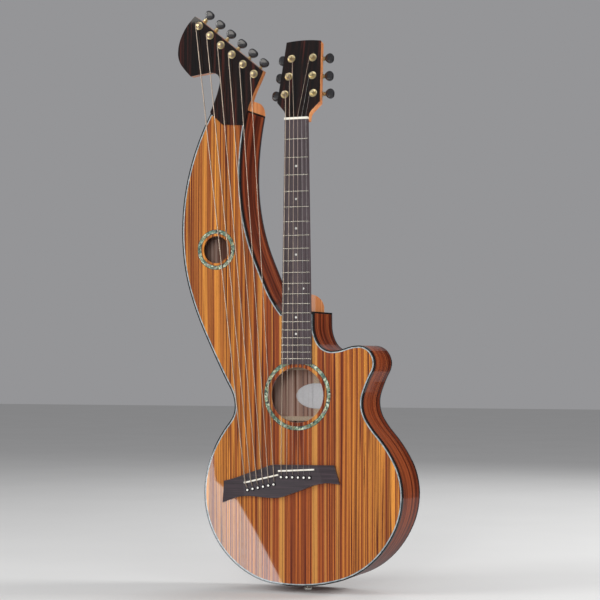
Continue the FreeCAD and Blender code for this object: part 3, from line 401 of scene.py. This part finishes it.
side_gloss, side_shader = new_finish(
    "striped_sides", roughness=0.45, coat=0.35, coat_roughness=0.05, under_coat=0.1
)
side_place = wavy(side_gloss, object_place(side_gloss), 0.004, 5, 5)
side_bands = ramp(
    side_gloss, streaks(side_gloss, side_place, (1.5, 85, 1.5), 2.0),
    (0.34, (0.045, 0.009, 0.005)),
    (0.46, (0.150, 0.027, 0.010)),
    (0.56, (0.260, 0.052, 0.017)),
    (0.70, (0.340, 0.085, 0.027)),
)
side_lines = ramp(
    side_gloss, streaks(side_gloss, side_place, (2.5, 150, 2.5), 1.0),
    (0.440, grey(1.0)), (0.485, grey(0.0)), (0.505, grey(0.0)), (0.555, grey(1.0)),
)
side_toned = blended(side_gloss, side_lines, (0.075, 0.016, 0.009), side_bands)
side_hairs = ramp(
    side_gloss, streaks(side_gloss, side_place, (8, 700, 8), 2.0), (0.38, grey(0.7)), (0.56, grey(1.0))
)
coloured(side_gloss, side_shader, blended(side_gloss, 0.8, side_toned, side_hairs, "MULTIPLY"))
for rib in ("bass_side", "inner_side", "treble_side"):
    dress(rib, side_gloss)

back_gloss, back_shader = new_finish(
    "striped_back", roughness=0.5, coat=1.0, coat_roughness=0.04, under_coat=0.0
)
back_place = wavy(back_gloss, mirrored(back_gloss), 0.005, 6, 2)
back_bands = ramp(
    back_gloss, streaks(back_gloss, back_place, (75, 10, 1.0), 2.0),
    (0.32, (0.062, 0.015, 0.009)),
    (0.46, (0.190, 0.045, 0.019)),
    (0.58, (0.310, 0.085, 0.032)),
    (0.72, (0.400, 0.130, 0.048)),
)
back_lines = ramp(
    back_gloss, streaks(back_gloss, back_place, (140, 20, 0.8), 1.0),
    (0.440, grey(1.0)), (0.485, grey(0.0)), (0.515, grey(0.0)), (0.560, grey(1.0)),
)
back_toned = blended(back_gloss, back_lines, (0.060, 0.014, 0.009), back_bands)
back_hairs = ramp(
    back_gloss, streaks(back_gloss, back_place, (650, 20, 4), 2.0), (0.38, grey(0.7)), (0.56, grey(1.0))
)
back_toned = blended(back_gloss, 0.8, back_toned, back_hairs, "MULTIPLY")
face_turn = put(back_gloss, "ShaderNodeSeparateXYZ", {
    "Vector": put(back_gloss, "ShaderNodeTexCoord").outputs["Normal"]
})
inner_share = put(
    back_gloss, "ShaderNodeMath", {0: face_turn.outputs["Y"], 1: -0.5}, operation="LESS_THAN"
).outputs[0]
bare_share = put(back_gloss, "ShaderNodeMath", {0: inner_share, 1: 0.92}, operation="MULTIPLY").outputs[0]
bare_lines = ramp(
    back_gloss, streaks(back_gloss, back_place, (230, 10, 0.8), 2.0),
    (0.38, (0.230, 0.110, 0.080)), (0.48, (0.540, 0.350, 0.280)), (0.66, (0.700, 0.500, 0.420)),
)
coloured(back_gloss, back_shader, blended(back_gloss, bare_share, back_toned, bare_lines))
dress("back_plate", back_gloss)

back_rim = merged_copy("back_plate")
keep_faces(back_rim, {face for face in back_rim.faces if abs(face.normal.y) < 0.5})
back_binding_height = 0.006
plate_thickness = 0.003
foremost = {}
for corner in back_rim.verts:
    key = (round(corner.co.x, 5), round(corner.co.z, 5))
    if key not in foremost or corner.co.y < foremost[key].co.y:
        foremost[key] = corner
bmesh.ops.translate(
    back_rim, verts=list(foremost.values()), vec=(0, plate_thickness - back_binding_height, 0)
)
back_binding = add_piece("back_binding", back_rim, black_plastic)
thicken = back_binding.modifiers.new("thicken", "SOLIDIFY")
thicken.thickness = 0.0005
thicken.offset = -0.4


# Inside
# Spruce braces under the top and across the back, a pale strip over the back's seam, mahogany
# blocks at the joints, and an oval paper label that stays blank.

spruce_finish, spruce_shader = new_finish("bare_spruce", roughness=0.62)
spruce_place = object_place(spruce_finish)
spruce_rings = ramp(
    spruce_finish, streaks(spruce_finish, spruce_place, (500, 500, 500), 2.0),
    (0.35, (0.64, 0.47, 0.33)), (0.60, (0.78, 0.62, 0.46)),
)
coloured(spruce_finish, spruce_shader, spruce_rings)
for stick in ("top_braces", "back_braces", "back_strip"):
    dress(stick, spruce_finish)

block_finish, block_shader = new_finish("bare_mahogany", roughness=0.6)
coloured(block_finish, block_shader, ramp(
    block_finish, streaks(block_finish, object_place(block_finish), (350, 350, 25), 3.0),
    (0.30, (0.18, 0.065, 0.030)), (0.65, (0.32, 0.130, 0.060)),
))
for block in ("tail_block", "neck_block", "arm_block"):
    dress(block, block_finish)

paper, paper_shader = new_finish("label_paper", roughness=0.75)
coloured(paper, paper_shader, ramp(
    paper, streaks(paper, object_place(paper), (300, 300, 300), 4.0),
    (0.35, (0.84, 0.84, 0.86)), (0.65, (0.90, 0.90, 0.92)),
))
label_centre = Vector((0.0, 0.0, 0.340))
label_half = (0.040, 0.0235)
strip_half_width = 0.0055
strip_thickness = 0.002
strip_shoulder = 0.004
back_at_tail = 0.058
back_taper = sin(radians(1.6))
back_arch_centre = -0.015
back_arch_radius = 3.6
back_thickness = 0.0031
paper_thickness = 0.0002
label = bmesh.new()
bmesh.ops.create_circle(label, cap_ends=True, cap_tris=True, segments=96, radius=1.0)
bmesh.ops.subdivide_edges(
    label, edges=[edge for edge in label.edges if not edge.is_boundary], cuts=23, use_grid_fill=True
)
bmesh.ops.scale(label, vec=(*label_half, 1), verts=label.verts)
for corner in label.verts:
    across, up = corner.co.x, corner.co.y
    height = label_centre.z + up
    arch_drop = (across - back_arch_centre) ** 2 / (2 * back_arch_radius)
    plate_inside = back_at_tail - height * back_taper - back_thickness - arch_drop
    over_strip = max(0.0, min(1.0, (strip_half_width + strip_shoulder - abs(across)) / strip_shoulder))
    lift = (strip_thickness + paper_thickness) * over_strip * over_strip * (3 - 2 * over_strip)
    corner.co = (across, plate_inside - lift, height)
bmesh.ops.recalc_face_normals(label, faces=label.faces)
label_piece = add_piece("label", label, paper)
label_body = label_piece.modifiers.new("paper", "SOLIDIFY")
label_body.thickness = paper_thickness


# Neck and heads
# Orange mahogany carved in one piece with the headstock, and a second piece for the harp head,
# both under dark veneers with faint red streaks.

mahogany, mahogany_shader = new_finish(
    "lacquered_mahogany", roughness=0.5, coat=0.9, coat_roughness=0.06, under_coat=0.1
)
mahogany_place = wavy(mahogany, object_place(mahogany), 0.004, 8, 3)
mahogany_tone = ramp(
    mahogany, streaks(mahogany, mahogany_place, (120, 120, 4), 2.0),
    (0.32, (0.480, 0.160, 0.055)), (0.50, (0.640, 0.240, 0.085)), (0.70, (0.740, 0.320, 0.125)),
)
mahogany_pores = ramp(
    mahogany, streaks(mahogany, mahogany_place, (1500, 1500, 70), 2.0),
    (0.30, grey(0.55)), (0.42, grey(1.0)),
)
coloured(mahogany, mahogany_shader, blended(mahogany, 0.85, mahogany_tone, mahogany_pores, "MULTIPLY"))
for carved in ("neck", "harp_head"):
    dress(carved, mahogany)

plate_gloss, plate_shader = new_finish("headplate_gloss", roughness=0.5, coat=1.0, under_coat=0.0)
plate_place = wavy(plate_gloss, object_place(plate_gloss), 0.003, 10, 4)
plate_tone = ramp(
    plate_gloss, streaks(plate_gloss, plate_place, (170, 30, 5), 2.0),
    (0.36, (0.004, 0.003, 0.003)), (0.54, (0.012, 0.005, 0.004)), (0.72, (0.060, 0.013, 0.009)),
)
plate_hairs = ramp(
    plate_gloss, streaks(plate_gloss, plate_place, (900, 60, 12), 2.0), (0.38, grey(0.5)), (0.6, grey(1.0))
)
coloured(plate_gloss, plate_shader, blended(plate_gloss, 0.8, plate_tone, plate_hairs, "MULTIPLY"))
dress("headplates", plate_gloss)

steel_finish, steel_shader = new_finish("plain_steel", roughness=0.35, metallic=1.0)
coloured(steel_finish, steel_shader, ramp(
    steel_finish, streaks(steel_finish, object_place(steel_finish), (400, 400, 20), 2.0),
    (0.3, (0.38, 0.38, 0.40)), (0.7, (0.55, 0.55, 0.56)),
))
dress("truss_rod", steel_finish)


# Fretboard, frets, dots and nut
# A dark board with a slight crown, domed nickel-silver frets pressed into it, small pearl dots,
# and a bone nut.

ebony, ebony_shader = new_finish("dark_board", roughness=0.46, under_coat=0.25)
ebony_place = object_place(ebony)
ebony_tone = ramp(
    ebony, streaks(ebony, ebony_place, (260, 60, 6), 3.0),
    (0.32, (0.042, 0.031, 0.034)), (0.55, (0.070, 0.053, 0.058)), (0.72, (0.105, 0.080, 0.084)),
)
ebony_pores = ramp(
    ebony, streaks(ebony, ebony_place, (2200, 300, 90), 2.0), (0.32, grey(0.55)), (0.44, grey(1.0))
)
coloured(ebony, ebony_shader, blended(ebony, 0.8, ebony_tone, ebony_pores, "MULTIPLY"))
dress("fretboard", ebony)

pearl, pearl_shader = new_finish("pearl_dots", roughness=0.2, coat=1.0)
coloured(pearl, pearl_shader, ramp(
    pearl, streaks(pearl, object_place(pearl), (420, 420, 420), 3.0),
    (0.35, (0.52, 0.54, 0.52)), (0.65, (0.74, 0.73, 0.68)),
))
dress("fret_dots", pearl)

bone, bone_shader = new_finish("polished_bone", roughness=0.3, coat=0.4)
coloured(bone, bone_shader, ramp(
    bone, streaks(bone, object_place(bone), (240, 240, 240), 3.0),
    (0.35, (0.72, 0.68, 0.58)), (0.65, (0.82, 0.79, 0.71)),
))
dress("nut", bone)
dress("saddles", bone)

nickel, nickel_shader = new_finish("nickel_silver", roughness=0.24, metallic=1.0)
coloured(nickel, nickel_shader, ramp(
    nickel, streaks(nickel, object_place(nickel), (60, 900, 900), 2.0),
    (0.3, (0.66, 0.62, 0.52)), (0.7, (0.80, 0.77, 0.68)),
))
board_face = -0.064
board_radius = 0.406
saddle_line = 0.210
scale_length = 0.632
nut_line = saddle_line + scale_length
board_end = 0.399
board_widths = (0.0582, 0.0445)
fret_half_width = 0.0011
fret_crown = 0.0010
fret_overhang = 0.0003
fret_section = [
    (0.0004, -1.0), (-0.35, -1.0), (-0.8, -0.6), (-1.0, 0.0), (-0.8, 0.6), (-0.35, 1.0), (0.0004, 1.0),
]
fret_wire = bmesh.new()
for number in range(1, 21):
    height = saddle_line + scale_length * 2 ** (-number / 12)
    share = (height - board_end) / (nut_line - board_end)
    half_board = (board_widths[0] + (board_widths[1] - board_widths[0]) * share) / 2 - fret_overhang
    swing = 2 * asin(half_board / board_radius)
    corners = [
        fret_wire.verts.new((0, board_face + rise * fret_crown, height + side * fret_half_width))
        for rise, side in fret_section
    ]
    edges = [fret_wire.edges.new(pair) for pair in zip(corners, corners[1:])]
    edges.append(fret_wire.edges.new((corners[-1], corners[0])))
    centre = (0, board_face + board_radius, height)
    bmesh.ops.rotate(
        fret_wire, verts=corners, cent=centre, matrix=Matrix.Rotation(-swing / 2, 3, "Z")
    )
    fret_wire.faces.new(corners)
    swept = bmesh.ops.spin(
        fret_wire, geom=corners + edges, cent=centre, axis=(0, 0, 1), angle=swing, steps=10
    )["geom_last"]
    fret_wire.faces.new([part for part in swept if isinstance(part, bmesh.types.BMVert)])
bmesh.ops.recalc_face_normals(fret_wire, faces=fret_wire.faces)
fret_piece = add_piece("fret_wires", fret_wire, nickel, sharp=50)
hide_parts("frets")


# Bridge and pins
# A winged bridge of polished dark wood, with a black pin for each string behind two bone saddles.
# Each pin has a pearl dot let into its head.

polished_ebony, polished_shader = new_finish("polished_ebony", roughness=0.30)
coloured(polished_ebony, polished_shader, ramp(
    polished_ebony, streaks(polished_ebony, object_place(polished_ebony), (8, 60, 420), 3.0),
    (0.32, (0.024, 0.018, 0.021)), (0.55, (0.040, 0.029, 0.034)), (0.72, (0.070, 0.047, 0.056)),
))
dress("bridge", polished_ebony)

pin_black, pin_shader = new_finish("pin_black", roughness=0.25, coat=0.6)
coloured(pin_black, pin_shader, ramp(
    pin_black, streaks(pin_black, object_place(pin_black), (300, 300, 300), 2.0),
    (0.35, (0.006, 0.006, 0.007)), (0.65, (0.012, 0.011, 0.012)),
))
pin_pearl, pin_pearl_shader = new_finish("pin_pearl", roughness=0.25, coat=0.8)
coloured(pin_pearl, pin_pearl_shader, ramp(
    pin_pearl, streaks(pin_pearl, object_place(pin_pearl), (500, 500, 500), 2.0),
    (0.35, (0.74, 0.72, 0.66)), (0.65, (0.88, 0.87, 0.82)),
))
bridge_face = -0.0664
pin_profile = [
    (0.0, 0.0031), (0.0012, 0.0030), (0.0024, 0.0025), (0.0032, 0.0016), (0.0036, 0.0008), (0.0035, 0.0002),
    (0.0030, 0.0), (0.0026, -0.0002), (0.0021, -0.0080), (0.0, -0.0080),
]
pins_across = [-0.0924 + 0.0509 * step / 5 for step in range(6)]
pins_up = [0.1714 + 0.0111 * step / 5 for step in range(6)]
pin_seats = list(zip(pins_across, pins_up)) + [(0.0109 * (step - 2.5), 0.196) for step in range(6)]
pin_places = [faced((across, bridge_face, up), (0, -1, 0), (1, 0, 0)) for across, up in pin_seats]
pin_piece = add_piece("pins", placed_copies(turned(pin_profile, 24), pin_places), pin_black)
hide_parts("bridge_pins")
dot_profile = [
    (0.0, 0.0033), (0.0012, 0.0032), (0.0019, 0.0030), (0.0019, 0.0018), (0.0, 0.0018), (0.0, 0.0033),
]
add_piece("pin_dots", placed_copies(turned(dot_profile, 24), pin_places), pin_pearl)


# Tuning machines
# Twelve sealed machines: a gold post through a ring in the head's face, a gold housing behind the
# head, and a black oval button on its worm shaft.

gold, gold_shader = new_finish("gold_plate", roughness=0.3, metallic=1.0)
coloured(gold, gold_shader, ramp(
    gold, streaks(gold, object_place(gold), (350, 350, 350), 3.0),
    (0.3, (0.94, 0.76, 0.38)), (0.7, (1.00, 0.88, 0.56)),
))
button_black, button_shader = new_finish("button_black", roughness=0.22, coat=0.8)
coloured(button_black, button_shader, ramp(
    button_black, streaks(button_black, object_place(button_black), (200, 200, 200), 2.0),
    (0.3, (0.012, 0.012, 0.014)), (0.7, (0.020, 0.020, 0.023)),
))

head_tilt = radians(14)
head_up = Vector((0, sin(head_tilt), cos(head_tilt)))
head_out = Vector((0, -cos(head_tilt), sin(head_tilt)))
head_base = Vector((0, -0.060, 0.846))
neck_posts = [
    (-0.0275, 0.0459), (-0.0230, 0.0806), (-0.0208, 0.1156),
    (0.0208, 0.1156), (0.0230, 0.0806), (0.0275, 0.0459),
]
machine_places = [
    faced(head_base + Vector((across, 0, 0)) + head_up * along, head_out, (1 if across > 0 else -1, 0, 0))
    for across, along in neck_posts
]
harp_row = (Vector((-0.1927, -0.060, 1.0250)), Vector((-0.0838, -0.060, 0.9298)))
row_step = (harp_row[1] - harp_row[0]) / 5
row_outward = Vector((-row_step.z, 0, row_step.x)).normalized()
machine_places += [faced(harp_row[0] + row_step * step, (0, -1, 0), row_outward) for step in range(6)]

post_profile = [
    (0.0, 0.0085), (0.0022, 0.0085), (0.0029, 0.0080), (0.0030, 0.0074), (0.0027, 0.0068),
    (0.0027, 0.0030), (0.0030, 0.0024), (0.0030, -0.0158), (0.0, -0.0158),
]
bushing_profile = [
    (0.00305, -0.0010), (0.00305, 0.0019), (0.0036, 0.0022), (0.0050, 0.0022), (0.0054, 0.0016),
    (0.0059, 0.0010), (0.0070, 0.0011), (0.0075, 0.0007), (0.0076, 0.0), (0.0076, -0.0002),
    (0.00305, -0.0010),
]
bushing_piece = add_piece(
    "tuner_rings", placed_copies(turned(bushing_profile, 36), machine_places), gold
)
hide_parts("tuner_bushings")

button_plan = [
    (0.0165, 0.0030), (0.0180, 0.0052), (0.0207, 0.0078), (0.0237, 0.0091), (0.0270, 0.0091),
    (0.0300, 0.0076), (0.0320, 0.0048), (0.0325, 0.0016),
]
button_half_depth = 0.00425
shaft_profile = [
    (0.0, 0.0175), (0.0022, 0.0175), (0.0022, 0.0147), (0.0038, 0.0145), (0.0043, 0.0140), (0.0043, 0.0128),
    (0.0036, 0.0123), (0.0036, 0.0112), (0.0043, 0.0107), (0.0043, 0.00865), (0.0022, 0.00860),
    (0.0022, 0.0052), (0.0, 0.0052),
]
worm_drop = 0.0215
worm_offset = 0.006
for number, place in enumerate(machine_places, start=1):
    post = add_piece(
        f"post_{number}", placed_copies(turned(post_profile, 32), [place]), gold,
        body=f"tuner_post_{number}",
    )
    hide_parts(f"tuner_post_{number}")
    side = -1 if number in (1, 2, 3) else 1
    worm_place = place @ Matrix.Translation((0, worm_offset * side, -worm_drop))
    outline = button_plan + [(along, -wide) for along, wide in reversed(button_plan)]
    button = bmesh.new()
    corners = [button.verts.new((along, wide, -button_half_depth)) for along, wide in outline]
    lower = button.faces.new(corners)
    upper = bmesh.ops.extrude_face_region(button, geom=[lower])["geom"]
    raised = [part for part in upper if isinstance(part, bmesh.types.BMVert)]
    bmesh.ops.translate(button, verts=raised, vec=(0, 0, 2 * button_half_depth))
    bmesh.ops.recalc_face_normals(button, faces=button.faces)
    flat_edges = [edge for edge in button.edges if abs(edge.verts[0].co.z - edge.verts[1].co.z) < 1e-6]
    bmesh.ops.bevel(
        button, geom=flat_edges, offset=0.0022, segments=4, profile=0.5, affect="EDGES", material=-1
    )
    bmesh.ops.transform(button, matrix=worm_place, verts=button.verts)
    button_piece = add_piece(
        f"button_{number}", button, button_black, body=f"tuner_button_{number}", sharp=50
    )
    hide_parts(f"tuner_button_{number}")
    lengthwise = worm_place @ Matrix.Rotation(pi / 2, 4, "Y")
    add_piece(
        f"worm_shaft_{number}", placed_copies(turned(shaft_profile, 24), [lengthwise]), gold,
        body=f"tuner_button_{number}",
    )

housing_back = -0.027
housing_front = -0.016
housing_size = (0.017, 0.024)


def machine_housing(side):
    """A rounded box behind the head, longer on the side where its worm lies."""
    made = bmesh.new()
    bmesh.ops.create_cube(made, size=1.0)
    depth = housing_front - housing_back
    bmesh.ops.scale(made, vec=(*housing_size, depth), verts=made.verts)
    bmesh.ops.translate(made, vec=(0, 0.003 * side, housing_back + depth / 2), verts=made.verts)
    upright = [edge for edge in made.edges if abs(edge.verts[0].co.z - edge.verts[1].co.z) > depth / 2]
    bmesh.ops.bevel(
        made, geom=upright, offset=0.004, segments=5, profile=0.5, affect="EDGES", material=-1
    )
    behind = [
        edge for edge in made.edges if all(abs(corner.co.z - housing_back) < 1e-6 for corner in edge.verts)
    ]
    bmesh.ops.bevel(
        made, geom=behind, offset=0.0018, segments=4, profile=0.5, affect="EDGES", material=-1
    )
    return made


left_housings = placed_copies(machine_housing(-1), machine_places[:3])
right_housings = placed_copies(machine_housing(1), machine_places[3:])
for name, made in (("left_housings", left_housings), ("right_housings", right_housings)):
    housing_piece = add_piece(name, made, gold)
    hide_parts("tuner_housings")


# Strings
# Six playing strings and six sub-bass strings of bronze-wound and plain steel wire. Each comes up
# beside its pin, crosses its saddle and is wound three times round its post.

wire_steel, wire_steel_shader = new_finish("plain_wire", roughness=0.3, metallic=1.0)
coloured(wire_steel, wire_steel_shader, ramp(
    wire_steel, streaks(wire_steel, object_place(wire_steel), (900, 900, 300), 1.0),
    (0.3, (0.60, 0.60, 0.58)), (0.7, (0.76, 0.75, 0.72)),
))
wire_bronze, wire_bronze_shader = new_finish("wound_bronze", roughness=0.34, metallic=1.0)
bronze_place = object_place(wire_bronze)
bronze_coils = put(
    wire_bronze, "ShaderNodeTexWave", {"Vector": bronze_place, "Scale": 560.0, "Distortion": 0.0},
    bands_direction="Z",
)
coloured(wire_bronze, wire_bronze_shader, ramp(
    wire_bronze, bronze_coils.outputs["Fac"], (0.0, (0.56, 0.43, 0.33)), (0.6, (0.84, 0.70, 0.56)),
))
bumped(wire_bronze, wire_bronze_shader, bronze_coils.outputs["Fac"], 0.35, 0.0002)

wire_unit = 0.001
saddle_top = -0.0692
nut_floor = -0.0659
head_foot = 0.848
post_radius = 0.003
winding_gap = 0.00035
turn_gap = 0.0002
winding_top = 0.0070
turns = 3
points_per_turn = 12


def along_line(ends, across):
    """Height on a slanted saddle at a place across it."""
    (x0, z0), (x1, z1) = ends
    return z0 + (z1 - z0) * (across - x0) / (x1 - x0)


def wound_points(place, arriving, gauge, towards_right):
    """Control points round a post, from where the string first touches it."""
    out = (place.to_3x3() @ Vector((0, 0, 1))).normalized()
    reach = post_radius + winding_gap + gauge / 2
    centre = place.translation + out * winding_top
    flat = arriving - centre
    flat -= out * flat.dot(out)
    east = flat.normalized()
    north = out.cross(east)
    opening = acos(reach / flat.length)
    touches = {
        sense: centre + (east * cos(opening) + north * (sin(opening) * sense)) * reach for sense in (1, -1)
    }
    sense = max(touches, key=lambda which: touches[which].x * towards_right)
    step = 2 * pi / points_per_turn
    corner_reach = reach / cos(step / 2)
    pitch = gauge + turn_gap
    points = [touches[sense]]
    for index in range(turns * points_per_turn):
        angle = (index + 0.5) * step
        swing = sense * (opening + angle)
        drop = out * (pitch * angle / (2 * pi))
        points.append(centre + (east * cos(swing) + north * sin(swing)) * corner_reach - drop)
    return points


def string_points(seat, saddle, nut, place, gauge, towards_right):
    """Control points from inside the bridge to the last turn on the post."""
    lead = Vector((saddle.x - seat[0], 0, saddle.z - seat[1])).normalized()
    hole = Vector((seat[0], bridge_face, seat[1])) + lead * (0.0036 + gauge / 2)
    hole.y -= gauge / 2
    corners = [hole + Vector((0, 0.002, 0)), hole]
    passing = [saddle] + ([nut] if nut else [])
    arriving = passing[-1]
    wound = wound_points(place, arriving, gauge, towards_right)
    stops = passing + [wound[0]]
    before = hole
    for corner, after in zip(passing, stops[1:]):
        corners += [
            corner + (before - corner).normalized() * 0.0015,
            corner,
            corner + (after - corner).normalized() * 0.0015,
        ]
        before = corner
    corners.append(wound[0] + (arriving - wound[0]).normalized() * 0.001)
    return corners + wound


def strung(name, routes, finish):
    """One curve object that holds several strings, each as thick as its gauge."""
    curve = bpy.data.curves.new(name, "CURVE")
    curve.dimensions = "3D"
    curve.bevel_depth = wire_unit
    curve.bevel_resolution = 2
    curve.resolution_u = 4
    curve.use_fill_caps = True
    for points, gauge in routes:
        spline = curve.splines.new("NURBS")
        spline.points.add(len(points) - 1)
        for control, point in zip(spline.points, points):
            control.co = (*point, 1.0)
            control.radius = gauge / 2 / wire_unit
        spline.order_u = 3
        spline.use_endpoint_u = True
    curve.materials.append(finish)
    added = bpy.data.objects.new(name, curve)
    scene.collection.objects.link(added)
    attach(added, "guitar")
    return added


main_saddle = ((-0.0330, 0.2067), (0.0358, 0.2107))
bass_saddle = ((-0.0992, 0.1842), (-0.0330, 0.1998))
main_gauges = (0.00135, 0.00107, 0.00081, 0.00061, 0.00041, 0.00033)
bass_gauges = (0.0019, 0.0018, 0.0017, 0.0016, 0.0015, 0.0014)
playing = []
for step, gauge in enumerate(main_gauges):
    across = 0.0107 * (step - 2.5)
    saddle = Vector((across, saddle_top - gauge / 2, along_line(main_saddle, across)))
    nut = Vector((0.0078 * (step - 2.5), nut_floor, head_foot))
    place = machine_places[step]
    inner = -1 if place.translation.x > 0 else 1
    playing.append((string_points(pin_seats[6 + step], saddle, nut, place, gauge, inner), gauge))
sub_bass = []
for step, gauge in enumerate(bass_gauges):
    across = -0.0963 + 0.0556 * step / 5
    saddle = Vector((across, saddle_top - gauge / 2, along_line(bass_saddle, across)))
    place = machine_places[6 + step]
    sub_bass.append((string_points(pin_seats[step], saddle, None, place, gauge, -1), gauge))
wound_strings = strung("wound_strings", playing[:4], wire_bronze)
plain_strings = strung("plain_strings", playing[4:], wire_steel)
bass_strings = strung("bass_wires", sub_bass, wire_bronze)
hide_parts("playing_strings")
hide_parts("playing_strings")
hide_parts("sub_bass_strings")


# End pin
# A turned pin with a round knob, pressed into the tail block, that holds a strap.

end_profile = [
    (0.0, -0.0120), (0.0042, -0.0119), (0.0060, -0.0112), (0.0068, -0.0098), (0.0067, -0.0084),
    (0.0058, -0.0074),
    (0.0046, -0.0069), (0.0043, -0.0040), (0.0044, -0.0012), (0.0046, 0.0), (0.0040, 0.0), (0.0040, 0.0190),
    (0.0, 0.0190),
]
end_knob = add_piece("end_knob", turned(end_profile, 48), nickel)
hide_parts("end_pin")


# Studio
# A pale matt floor under an even grey sky, soft lamps on every side, and panels that show only in
# the gloss: one for the frets, one whose edge crosses the lower bout, and a dark one for the sides.

floor_height = cad_box[0].z - 0.0005
floor = bpy.data.objects.new("floor", bpy.data.meshes.new("floor"))
ground = bmesh.new()
bmesh.ops.create_grid(ground, x_segments=1, y_segments=1, size=12)
bmesh.ops.translate(ground, verts=ground.verts, vec=(0, 0, floor_height))
ground.to_mesh(floor.data)
ground.free()
floor_finish, floor_shader = new_finish("pale_floor", roughness=0.9, under_coat=0.0)
coloured(floor_finish, floor_shader, ramp(
    floor_finish, streaks(floor_finish, object_place(floor_finish), (3, 3, 3), 2.0),
    (0.3, (0.76, 0.76, 0.75)), (0.7, (0.78, 0.78, 0.77)),
))
floor.data.materials.append(floor_finish)
floor.visible_glossy = False
scene.collection.objects.link(floor)

world = bpy.data.worlds.new("studio")
world.use_nodes = True
scene.world = world
background = world.node_tree.nodes["Background"]
background.inputs["Color"].default_value = (0.30, 0.30, 0.31, 1)


def lamp(name, location, target, size, power, in_gloss=True):
    """A square soft lamp that faces a point; one that isn't in the gloss has no reflection."""
    light = bpy.data.lights.new(name, "AREA")
    light.shape = "SQUARE"
    light.size = size
    light.energy = power
    holder = bpy.data.objects.new(name, light)
    holder.location = location
    holder.rotation_mode = "QUATERNION"
    holder.rotation_quaternion = (Vector(target) - Vector(location)).to_track_quat("-Z", "Y")
    holder.visible_glossy = in_gloss
    scene.collection.objects.link(holder)


lamp("key", (-2.4, -2.1, 1.7), (0, 0, 0.5), 1.5, 48)
lamp("fill", (2.3, -2.2, 1.0), (0, 0, 0.5), 1.4, 18, in_gloss=False)
lamp("front", (0.4, -3.3, 1.3), (0, 0, 0.5), 1.2, 18, in_gloss=False)
lamp("near", (0.60, -2.6, 0.62), (0, 0, 0.36), 0.4, 20, in_gloss=False)
lamp("back", (0.3, 2.6, 2.2), (0, 0, 0.5), 1.8, 25, in_gloss=False)
lamp("rim", (2.2, 0.9, 1.5), (0, 0, 0.6), 0.8, 35, in_gloss=False)


def gloss_card(name, corners, strength, tint=(1.0, 0.96, 0.90)):
    """A flat panel that shows only in reflections; with no strength it is a dark one."""
    card = bpy.data.objects.new(name, bpy.data.meshes.new(name))
    card.data.from_pydata(corners, [], [tuple(range(len(corners)))])
    glow = bpy.data.materials.new(name)
    glow.use_nodes = True
    shader = glow.node_tree.nodes["Principled BSDF"]
    shader.inputs["Base Color"].default_value = (0, 0, 0, 1)
    shader.inputs["Specular IOR Level"].default_value = 0.0
    shader.inputs["Emission Color"].default_value = (*tint, 1)
    shader.inputs["Emission Strength"].default_value = strength
    card.data.materials.append(glow)
    card.visible_camera = False
    card.visible_diffuse = False
    card.visible_shadow = False
    card.visible_transmission = False
    scene.collection.objects.link(card)


gloss_card("fret_card", [(-1.5, -2.5, 1.55), (-0.5, -2.9, 1.55), (-0.5, -2.9, 2.15), (-1.5, -2.5, 2.15)], 3.0)
panel_corners = [
    (-1.246, -2.6, 0.173), (-1.246, -2.6, 0.061), (-1.237, -2.6, 0.002), (-1.160, -2.6, -0.060),
    (-1.101, -2.6, -0.152), (-1.050, -2.6, -0.238), (-1.006, -2.6, -0.317), (-0.984, -2.6, -0.364),
    (-1.324, -2.6, -0.364), (-1.324, -2.6, 0.173),
]
gloss_card("bout_panel", panel_corners, 6.5, tint=(0.90, 0.96, 1.0))
gloss_card("dark_card", [(0.15, 1.6, 0.0), (2.6, 1.0, 0.0), (2.6, 1.0, 2.4), (0.15, 1.6, 2.4)], 0.0)
